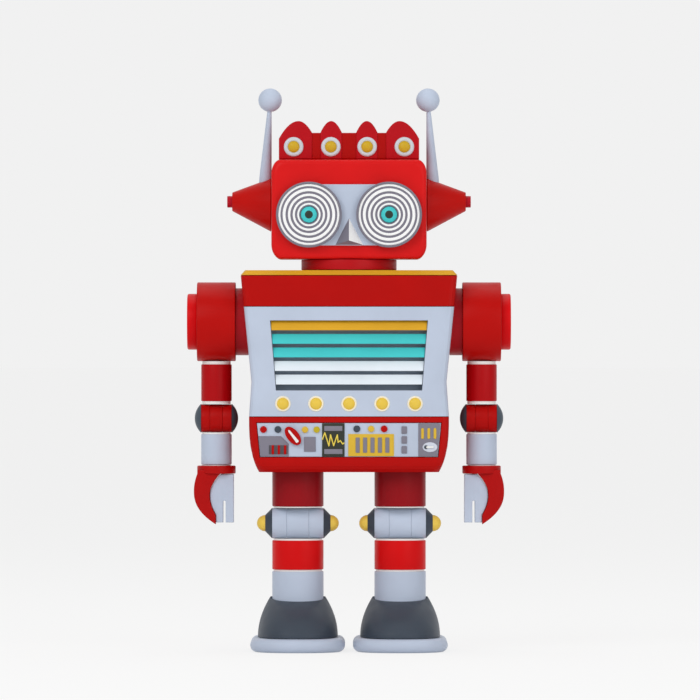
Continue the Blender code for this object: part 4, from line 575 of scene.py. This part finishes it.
panel_path = polygon([(panel_half_top, panel_height), (-panel_half_top, panel_height),
                      (-panel_half_foot, 0), (panel_half_foot, 0)])
fit(skin("panel_plate", plate_rings(panel_path, 0.0, panel_thick)), "torso", "blue_grey", [blue_grey], "control_panel")

low_relief, glass_relief, mid_relief, key_relief, bar_relief, high_relief = np.array([4, 5, 6, 7, 8, 9]) / 10000
button, lamp_button = 0.0017, 0.0016
left_row, left_lamp_row, right_row = 0.0136, 0.0135, 0.0139
for name, radius, spots, finish, slot in (
    ("red_buttons", button, ((-0.0426, left_row), (0.0175, right_row)), body_red, "red_plastic"),
    ("slate_buttons", button, ((-0.0354, left_row), (0.0039, right_row)), slate, "slate_plastic"),
    ("yellow_buttons", lamp_button, ((-0.0219, left_lamp_row), (0.0110, right_row)), bar_yellow, "amber_lens"),
    ("olive_button", lamp_button, ((-0.0161, left_lamp_row),), olive, "amber_lens"),
):
    fitting(name, [oval(x, z, radius, radius) for x, z in spots], high_relief, finish, slot)

gauge_path = polygon([(-0.0451, 0.0103), (-0.0441, 0.0002), (-0.0299, 0.0002), (-0.0299, 0.0064), (-0.0338, 0.0103)])
gauge_z = 0.0035
fitting("gauge_plate", [gauge_path], low_relief, mauve, "grey_plastic")
fitting("gauge_window", [rect(-0.0352, gauge_z, 0.0094, 0.0045)], mid_relief, gauge_dark, "slate_plastic")
fitting("gauge_bars", [rect(x, gauge_z, 0.0012, 0.0046) for x in (-0.0379, -0.0349, -0.0318)],
        high_relief, body_red, "red_plastic")
fitting("meter_plate", [rect(-0.0195, 0.0062, 0.0058, 0.0074)], mid_relief, mauve, "grey_plastic")

scope_x, trace_half, stroke_back, stroke_on = -0.0078, 0.0003, 0.00012, 0.0002
fitting("scope_glass", [rect(scope_x, 0.0084, 0.0112, 0.0166)], glass_relief, scope_dark, "slate_plastic")
fitting("scope_bars", [rect(scope_x, z, 0.0091, 0.0025) for z in (0.0026, 0.0141)], bar_relief, mauve, "grey_plastic")
trace = np.array([(-13.25, 8.6), (-12.04, 12.0), (-9.99, 5.4), (-9.19, 11.0), (-7.65, 5.5), (-5.80, 11.0),
                  (-5.43, 7.2), (-4.29, 8.05), (-3.15, 6.35), (-2.45, 6.9)]) / 1000
strokes = []
for start, end in zip(trace, trace[1:]):
    along = (end - start) / np.linalg.norm(end - start)
    beside = trace_half * np.array([-along[1], along[0]])
    start, end = start - stroke_back * along, end + stroke_on * along
    strokes.append(polygon([start - beside, end - beside, end + beside, start + beside]))
fitting("scope_trace", strokes, high_relief, trace_yellow, "amber_lens")

slider_z, slot_first, slot_pitch = 0.0058, 0.0043, 0.0037
key_first, key_pitch = 0.0035, 0.0049
fitting("slider_plate", [rect(0.0110, slider_z, 0.0228, 0.0111)], low_relief, bar_yellow, "amber_lens")
fitting("slider_slots", [rect(slot_first + slot_pitch * i, slider_z, 0.00205, 0.0076) for i in range(5)],
        bar_relief, mauve, "grey_plastic")
fitting("keys", [rect(0.0275, key_first + key_pitch * i, 0.0027, 0.0037) for i in range(3)],
        key_relief, mauve, "grey_plastic")

switch_x, switch_z = 0.0403, 0.0048
switch_path = polygon([(0.0455, 0.0166), (0.0345, 0.0166), (0.0345, 0.0002), (0.0440, 0.0002)])
fitting("switch_plate", [switch_path], low_relief, mauve, "grey_plastic")
fitting("fuses", [rect(x, 0.0116, 0.0014, 0.0054, 0.0006) for x in (0.0366, 0.0397, 0.0428)],
        bar_relief, bar_yellow, "amber_lens")
fitting("switch_escutcheon", [oval(switch_x, switch_z, 0.0037, 0.00245)], bar_relief, pale_grey, "grey_plastic")

knob_x, knob_z, knob_turn = -0.0279, 0.0104, math.radians(-52)
running_gap, knob_relief, lever_foot, lever_relief = 0.00105, 0.0023, 0.0020, 0.0034
collar_relief, switch_relief = 0.0014, 0.0017
knob_path = oval(knob_x, knob_z, 0.0054, 0.0030, knob_turn)
fit(skin("selector_oval", plate_rings(knob_path, knob_relief, -running_gap)),
    "selector", "red_plastic", [body_red], "selector_knob")
lever = np.array([(-0.0040, -0.0005), (-0.0037, -0.0008), (0.0032, -0.0005), (0.0037, 0.0), (0.0032, 0.0005),
                  (-0.0037, 0.0008), (-0.0040, 0.0005)]) * np.array([-1, 1])
c, s = math.cos(knob_turn), math.sin(knob_turn)
lever_path = lever @ np.array([[c, s], [-s, c]]) + np.array([knob_x, panel_low + knob_z])
fit(skin("selector_lever", plate_rings(lever_path, lever_relief, -lever_foot)), "selector", "white", [white])
collar_path = oval(0.0383, switch_z, 0.00095, 0.00095)
fit(skin("switch_collar", plate_rings(collar_path, collar_relief, -running_gap)),
    "switch", "slate_plastic", [slate])
slide_path = rect(switch_x, switch_z, 0.0038, 0.0010, 0.00045)
fit(skin("switch_lever", plate_rings(slide_path, switch_relief, -running_gap)),
    "switch", "white", [white], "power_switch")

# Neck: a dark red collar moulded in plastic, that the head swivels on.
# It stands on the top plate and is capped by the head.

neck_red = enamel("neck_red_enamel", "BC121A")
neck_radius, neck_low, neck_high, neck_edge = 0.02385, 0.1903, 0.1954, 0.0003
fit(turned("neck_collar", bar_profile(neck_radius, neck_low, neck_high, neck_edge), UP, (0, body_y, 0), steps=96),
    "torso", "crest_red", [neck_red], "neck")

# Head: a deep-drawn tinplate box in bright red, with tall elliptical corners and softened rims, front and back.
# It is pressed in two halves whose seam is soldered and painted over.


def rim_steps(front, back, edge, count):
    """Steps (draw, y) of a slab from front to back, each of its two rims a quarter circle of the edge."""
    turn = np.linspace(0, math.pi / 2, count)
    rim = [(edge * (1 - math.sin(a)), edge * (1 - math.cos(a))) for a in turn]
    return [(draw, front + y) for draw, y in rim] + [(draw, back - y) for draw, y in rim[::-1]]


head_red = enamel("head_red_enamel", "DE1718")
head_low, head_height, head_width = 0.1957, 0.0495, 0.0774
head_front, head_depth, head_edge = -0.017, 0.050, 0.0026
head_corner = (0.0048, 0.0072)
head_rings = []
for draw, y in rim_steps(head_front, head_front + head_depth, head_edge, 8):
    p = rounded_rectangle(head_width - 2 * draw, head_height - 2 * draw, (head_corner,) * 4, 12)
    head_rings.append(np.column_stack([p[:, 0], np.full(len(p), y), p[:, 1] + head_low + head_height / 2]))
fit(skin("head_box", head_rings), "head", "bright_red", [head_red], "head_shell")

# Face plate: a pale tinplate panel between the eyes, with a folded wedge nose soldered on.
# The nose is grey on one side and below, which is painted shade, and white on the other side, which is painted light.

face_low, face_front, face_width, face_height = 0.2023, -0.0187, 0.0400, 0.0304
face_thick, face_edge, face_corner = 0.0013, 0.0003, 0.0004
face_path = rounded_rectangle(face_width, face_height, (face_corner,) * 4, 4)
face_path += np.array([0, face_low + face_height / 2])
face_steps = ((0, face_front + face_thick), (0, face_front + face_edge), (face_edge, face_front))
fit(skin("face_plate_front", pressed_rings(face_path, face_steps)), "head", "blue_grey", [blue_grey], "face_plate")
# The nose's white is painted light, standing for the lit side of the wedge.
nose_lit_white = enamel("nose_painted_light_enamel", "FFFFFF", 0.38, 0.015)
nose_foot, nose_tip, nose_low = -0.0181, -0.0249, face_low + 0.0001
nose_corners = [(-0.0074, nose_foot, nose_low), (0.0077, nose_foot, nose_low),
                (0, nose_foot, face_low + 0.0146), (0, nose_tip, face_low + 0.0024)]
# The side, lower and back faces take the mauve grey as painted shade, and the other side takes the white as painted
# light.
nose_faces, nose_light_and_shade_faces, nose_crease = [[0, 2, 3], [2, 1, 3], [0, 3, 1], [0, 1, 2]], [0, 1, 0, 0], 20
nose = mesh_of("nose_wedge", nose_corners, nose_faces, nose_light_and_shade_faces, nose_crease)
fit(nose, "head", "blue_grey", [mauve, nose_lit_white])

# Eyes: shallow plastic dishes with raised white rings on a mauve-grey ground, a grey rim and a domed teal iris.
# They are pressed through the head's front and held by tabs.

pupil = enamel("pupil_dark", "34403A", 0.25)
ring_white = enamel("eye_ring_white", "FFFFFF", 0.38, 0.015)
groove_grey = enamel("eye_groove_grey", "807D8A", 0.4)
eye_x, eye_z, eye_radius, eye_depth, eye_floor = 0.01995, 0.2176, 0.01635, 0.0052, 0.0040
eye_back, ring_rise, ring_power, iris_well, well_depth = 0.0003, 0.0005, 0.4, 0.0043, 0.0006
eye_rings = ((0.01412, 0.0153), (0.01160, 0.0131), (0.0092, 0.01046), (0.00692, 0.00806), (0.00487, 0.00582))
iris_radius, iris_rise, iris_foot, pupil_radius = 0.0040, 0.0019, 0.0005, 0.0021


def eye_profile():
    """Dish profile and its bands: the rim, then flat grey grooves between white rings with rounded edges, each
    ring's height being its rise times a low power of the sine across it, and the well for the iris."""
    rows = [(0, eye_back), (eye_radius, eye_back), (eye_radius, eye_depth - 0.0003), (0.0160, eye_depth),
            (0.0155, eye_depth), (0.0153, eye_floor)]
    marks = [0] * 5
    bend = np.linspace(0, math.pi, 9)
    for inner, outer in eye_rings:
        middle, half = (inner + outer) / 2, (outer - inner) / 2
        rows += [(middle + half * math.cos(a), eye_floor + ring_rise * abs(math.sin(a)) ** ring_power) for a in bend]
        marks += [0] + [1] * (len(bend) - 1)
    rows += [(iris_well, eye_floor), (iris_well, eye_floor - well_depth), (0, eye_floor - well_depth)]
    return rows, marks + [0] * 3


rows, marks = eye_profile()
iris = lens_profile(iris_radius, iris_rise, iris_foot, eye_floor)
iris_marks = [0, 0] + [int(r < pupil_radius) for r in (iris[2:-1, 0] + iris[3:, 0]) / 2]
for side, sign in sides:
    centre = (sign * eye_x, head_front, eye_z)
    fit(turned(f"eye_dish_{side}", rows, FORWARD, centre, marks, 96),
        "head", "white", [groove_grey, ring_white], f"eye_disc_{side}")
    fit(turned(f"eye_dome_{side}", iris, FORWARD, centre, iris_marks, 64),
        "head", "teal", [teal, pupil], f"eye_iris_{side}")

# Crest: a red block of four rounded humps along the head's top, with a column of lighter red under each hump.
# Amber lamps sit in pale rings on the columns; the block is a plastic moulding glued to the head.

crest_red = enamel("crest_red_gloss", "BA0D19")
crest_dark = enamel("crest_dark_gloss", "B00603")
crest_lamp = enamel("crest_lamp_amber", "D3AC2C", 0.2, 0.03, 0.02, 0.05)
pale_ring = enamel("pale_lamp_ring", "D3D9E0", 0.34)
crest_low, crest_front, crest_depth, crest_edge = 0.2455, -0.009, 0.034, 0.0005
crest_valley, crest_top, crest_shoulder = crest_low + 0.0131, crest_low + 0.0190, crest_low + 0.0102
outer_x, outer_half, outer_half_in = 0.0252, 0.0098, 0.0068
inner_x, inner_half = 0.0089, 0.0054
column_proud, column_trim = 0.0007, 0.00005


def hump(x, half, low, span, steps=14):
    """Parabolic hump: height falls from the top with the square of the share of its half width."""
    share = np.linspace(span[0], span[1], steps)
    return np.column_stack([x + half * share, crest_top - (crest_top - low) * share ** 2])


def slab_rings(path, front, back, edge):
    """A path in the front view carried along Y, with both rims rounded to a quarter circle of the edge."""
    return pressed_rings(path, rim_steps(front, back, edge, 5))


outer_hump = np.concatenate([hump(outer_x, outer_half, crest_shoulder, (1, 0)),
                             hump(outer_x, outer_half_in, crest_valley, (0, -1))[1:]])
inner_hump = hump(inner_x, inner_half, crest_valley, (1, -1), 24)
crest_end = [[outer_x + outer_half, crest_low]]
right_half = np.concatenate([crest_end, outer_hump, inner_hump])
crest_path = np.concatenate([right_half, (right_half * np.array([-1, 1]))[::-1]])
crest_back = crest_front + crest_depth
fit(skin("crest_block", slab_rings(crest_path, crest_front, crest_back, crest_edge)),
    "head", "crest_red", [crest_dark], "crest")
outer_column = np.concatenate([crest_end, outer_hump, [[outer_x - outer_half_in, crest_low]]])
inner_column = np.concatenate([[[inner_x + inner_half, crest_low]], inner_hump, [[inner_x - inner_half, crest_low]]])
columns = []
for sign in (1, -1):
    for path in (outer_column, inner_column):
        path = inset(path, column_trim) * np.array([sign, 1])
        columns.append(slab_rings(path, crest_front - column_proud, crest_back + column_proud, crest_edge))
fit(skin("crest_columns", *columns), "head", "crest_red", [crest_red])
crest_lamp_z, crest_lens_rise, crest_ring_radius, crest_ring_rise = crest_low + 0.0061, 0.0016, 0.0049, 0.0009
crest_lens = lens_profile(lens_radius, crest_lens_rise, lens_foot)
crest_ring = bezel_profile(bezel_bore, crest_ring_radius, crest_ring_rise)
places = [(x, crest_front - column_proud, crest_lamp_z) for x in (-0.0276, -0.00905, 0.00905, 0.0276)]
fit(skin("crest_lenses", *[turned_rings(crest_lens, FORWARD, p, 40) for p in places]),
    "head", "amber_lens", [crest_lamp], "crest_lamps")
fit(skin("crest_lamp_rings", *[turned_rings(crest_ring, FORWARD, p, 56) for p in places], closed=True),
    "head", "white", [pale_ring])

# Ears: red plastic cones on the head's sides, with a small nub at each tip.
# The pale antennas plug into their upper sides, taper upwards and end in a ball.

ear_red = enamel("ear_red_gloss", "C00C06")
nub_red = enamel("ear_nub_gloss", "B51024")
ear_z, ear_start, ear_length, ear_end = 0.2245, 0.0390, 0.0195, 0.0220
ear_radius, ear_tip, nub_radius, ear_sag = 0.0133, 0.0048, 0.0029, 0.0016
ear_cone = np.array([
    (0, 0), (0.0131, 0), (ear_radius, 0.0003), (ear_tip, 0.0192), (0.0045, ear_length),
    (nub_radius, ear_length), (nub_radius, 0.0218), (0.0027, ear_end), (0, ear_end),
]) + np.array([0, ear_start])
ear_marks = [0, 0, 0, 0, 0, 1, 1, 1]
sag = ear_sag * np.clip(1 - (ear_cone[:, 1, None] - ear_start) / ear_length, 0, 1)
rod_x, rod_plug, rod_rise, rod_lean = 0.0421, 0.004, 0.0334, 0.0020
rod_foot, rod_top, ball = 0.0031, 0.0011, 0.0059
ear_fall, rod_along = 0.0087, 0.0034
rod_base = ear_z + ear_radius - ear_fall * rod_along / ear_length - rod_plug
ball_z = rod_plug + rod_rise + math.sqrt(ball ** 2 - rod_top ** 2)
bend = np.linspace(math.asin(rod_top / ball) - math.pi / 2, math.pi / 2, 28)
globe = np.column_stack([ball * np.cos(bend), ball_z + ball * np.sin(bend)])
globe[-1, 0] = 0
antenna = np.concatenate([[(0, 0), (rod_foot, 0), (rod_foot, rod_plug)], globe])
for side, sign in sides:
    ear_rings = turned_rings(ear_cone, (sign, 0, 0), (0, body_y, ear_z), 72)
    ear_rings[..., 2] -= sag
    fit(skin(f"ear_cone_{side}", ear_rings, bands=ear_marks), "head", "red_plastic", [ear_red, nub_red], f"ear_{side}")
    lean = np.array([-sign * rod_lean, 0, rod_rise])
    lean /= np.linalg.norm(lean)
    fit(turned(f"antenna_rod_{side}", antenna, lean, (sign * rod_x, body_y, rod_base), steps=48),
        "head", "grey_plastic", [blue_grey], f"antenna_{side}")

# Shoulders: hollow red tinplate drums across the body's sides, each closed by a plastic cap whose brighter red is
# painted light.
# They turn on one rod through the body, and the upper arm plugs up into the drum.

# The cap's brighter red is painted light: the drum's red as it catches the light at the shoulder's outer end.
cap_lit_red = enamel("cap_painted_light_gloss", "DC060E")
drum_red = enamel("drum_red_enamel", "BA0602")
drum_radius, drum_from, drum_to, drum_edge = 0.01975, 0.05675, 0.07605, 0.0005
cap_radius, cap_from, cap_to, cap_edge = 0.0140, 0.07580, 0.08095, 0.0009
drum = bar_profile(drum_radius, drum_from, drum_to, drum_edge)
drum_cap = bar_profile(cap_radius, cap_from, cap_to, cap_edge)
for side, sign in sides:
    out, centre = (sign, 0, 0), (0, body_y, shoulder_z)
    fit(turned(f"drum_{side}", drum, out, centre, steps=96),
        f"arm_{side}", "body_red", [drum_red], f"shoulder_drum_{side}")
    fit(turned(f"drum_cap_{side}", drum_cap, out, centre, steps=80),
        f"arm_{side}", "red_plastic", [cap_lit_red], f"shoulder_cap_{side}")

# Arms: red upper arms and pale forearms, as plain tubes with white nylon washers between, hinged at a barrel elbow.
# The elbow's outer knuckles belong to the upper arm, and dark domed rivet heads close its ends.

arm_red = enamel("arm_red_gloss", "B40810")
elbow_red = enamel("elbow_red_gloss", "B60402")
dome_slate = enamel("elbow_dome_slate", "4B5661", 0.4)
arm_x, arm_radius, arm_top, arm_bottom = 0.0664, 0.00765, 0.14305, 0.12465
elbow_z, elbow_radius, elbow_half = 0.11605, 0.0070, 0.00315
forearm_top, forearm_bottom, cuff_top, cuff_bottom = 0.10815, 0.09285, 0.09235, 0.08835
arm_washer, under_drum, over_elbow, under_elbow, over_cuff = 0.0071, 0.14460, 0.12320, 0.10895, 0.0927
elbow_bar = bar_profile(elbow_radius, -elbow_half, elbow_half, knuckle_edge)
elbow_outer = bar_profile(elbow_radius, elbow_half + knuckle_gap, arm_radius, knuckle_edge)
seat, rise, rivet_radius = arm_radius + 0.00003, 0.0032, 0.0073
rivet_ball = (rivet_radius ** 2 + rise ** 2) / (2 * rise)
bend = np.linspace(math.acos(rivet_radius / rivet_ball), math.pi / 2, 12)
rivet = np.column_stack([rivet_ball * np.cos(bend), seat + rise - rivet_ball + rivet_ball * np.sin(bend)])
rivet[-1, 0] = 0
rivet = np.concatenate([[[0, seat]], rivet])
for side, sign in sides:
    centre = (sign * arm_x, body_y, 0)
    hinge = (sign * arm_x, body_y, elbow_z)
    fit(turned(f"upper_arm_tube_{side}", bar_profile(arm_radius, arm_bottom, arm_top), UP, centre),
        f"arm_{side}", "red_plastic", [arm_red], f"upper_arm_{side}")
    fit(skin(f"elbow_outer_knuckles_{side}", *both_ends(elbow_outer, hinge)), f"arm_{side}", "red_plastic", [elbow_red])
    fit(turned(f"elbow_middle_knuckle_{side}", elbow_bar, ACROSS, hinge),
        f"lower_arm_{side}", "red_plastic", [elbow_red], f"elbow_knuckle_{side}")
    fit(skin(f"elbow_domes_{side}", *both_ends(rivet, hinge)),
        f"arm_{side}", "slate_plastic", [dome_slate], f"elbow_rivet_{side}")
    fit(turned(f"forearm_tube_{side}", bar_profile(arm_radius, forearm_bottom, forearm_top), UP, centre),
        f"lower_arm_{side}", "blue_grey", [blue_grey], f"forearm_{side}")
    for washer, low, high, body in (
        ("shoulder_washer", arm_top - washer_lap, under_drum, "arm"),
        ("elbow_washer", over_elbow, arm_bottom + washer_lap, "arm"),
        ("forearm_washer", forearm_top - washer_lap, under_elbow, "lower_arm"),
        ("wrist_washer", cuff_top - washer_lap, over_cuff, "hand"),
    ):
        fit(turned(f"{washer}_{side}", bar_profile(arm_washer, low, high, washer_edge), UP, centre),
            f"{body}_{side}", "white", [white])

# Hands: a red plastic cuff with a crescent claw on its outer side, and pale slotted fingers inside the crescent.
# Cuff and claw are one moulding, the fingers are glued into it, and the cuff's spigot turns in the forearm.


def crescent_edge(root, swell, swell_at, power, length):
    """One edge of the claw, as (outward, down): out from the root to the swell by a square, and in again from
    there to the tip by a power."""
    t = np.linspace(0, 1, 41)
    rising = (swell - root) * (1 - t / swell_at) ** 2
    falling = (swell - tip_x) * (np.maximum(t - swell_at, 0) / (1 - swell_at)) ** power
    return np.column_stack([swell - np.where(t < swell_at, rising, falling), t * length])


hand_red = enamel("hand_red_gloss", "B40A0A")
finger_length, claw_length, tip_length = 0.0244, 0.0253, 0.0048
root_out, root_in, root_up, tip_x = 0.0095, -0.0021, 0.0020, 0.0003
bulge, bulge_at, bulge_power = 0.0112, 0.34, 2.4
hollow, hollow_at, hollow_power = 0.0033, 0.53, 2
claw_outer = crescent_edge(root_out, bulge, bulge_at, bulge_power, claw_length)
claw_inner = crescent_edge(root_in, hollow, hollow_at, hollow_power, claw_length - tip_length)
claw_path = np.concatenate([[[root_out, -root_up]], claw_outer, claw_inner[::-1], [[root_in, -root_up]]])
palm_gap, palm_low, palm_side = 0.0002, 0.0003, -0.0087
slit, slit_half, slit_top = palm_side + 0.0053, 0.00065, finger_length - 0.0103
palm = np.column_stack([claw_inner[:, 0] - palm_gap, np.maximum(claw_inner[:, 1], palm_gap)])
bend = np.linspace(0, math.pi, 9)
slit_end = np.column_stack([slit - slit_half + slit_half * np.cos(bend), slit_top - slit_half * np.sin(bend)])
finger_path = np.concatenate([
    palm, [[palm[-1, 0], finger_length], [slit, finger_length]], slit_end,
    [[slit - 2 * slit_half, finger_length], [palm_side, finger_length], [palm_side, palm_low]],
])
cuff_radius, cuff_edge = 0.00965, 0.0005
cuff_profile = bar_profile(cuff_radius, cuff_bottom, cuff_top, cuff_edge)
claw_front, claw_back, claw_edge = 0.0005, 0.0155, 0.0005
finger_front, finger_back, finger_edge = 0.0018, 0.0142, 0.0004
for side, sign in sides:
    outward_down, wrist = np.array([sign, -1]), np.array([sign * arm_x, cuff_bottom])
    cuff = turned_rings(cuff_profile, UP, (sign * arm_x, body_y, 0))
    claw = slab_rings(claw_path * outward_down + wrist, claw_front, claw_back, claw_edge)
    fingers = slab_rings(finger_path * outward_down + wrist, finger_front, finger_back, finger_edge)
    fit(skin(f"cuff_claw_{side}", cuff, claw), f"hand_{side}", "red_plastic", [hand_red], f"hand_shell_{side}")
    fit(skin(f"fingers_{side}", fingers), f"hand_{side}", "grey_plastic", [blue_grey], f"hand_fingers_{side}")
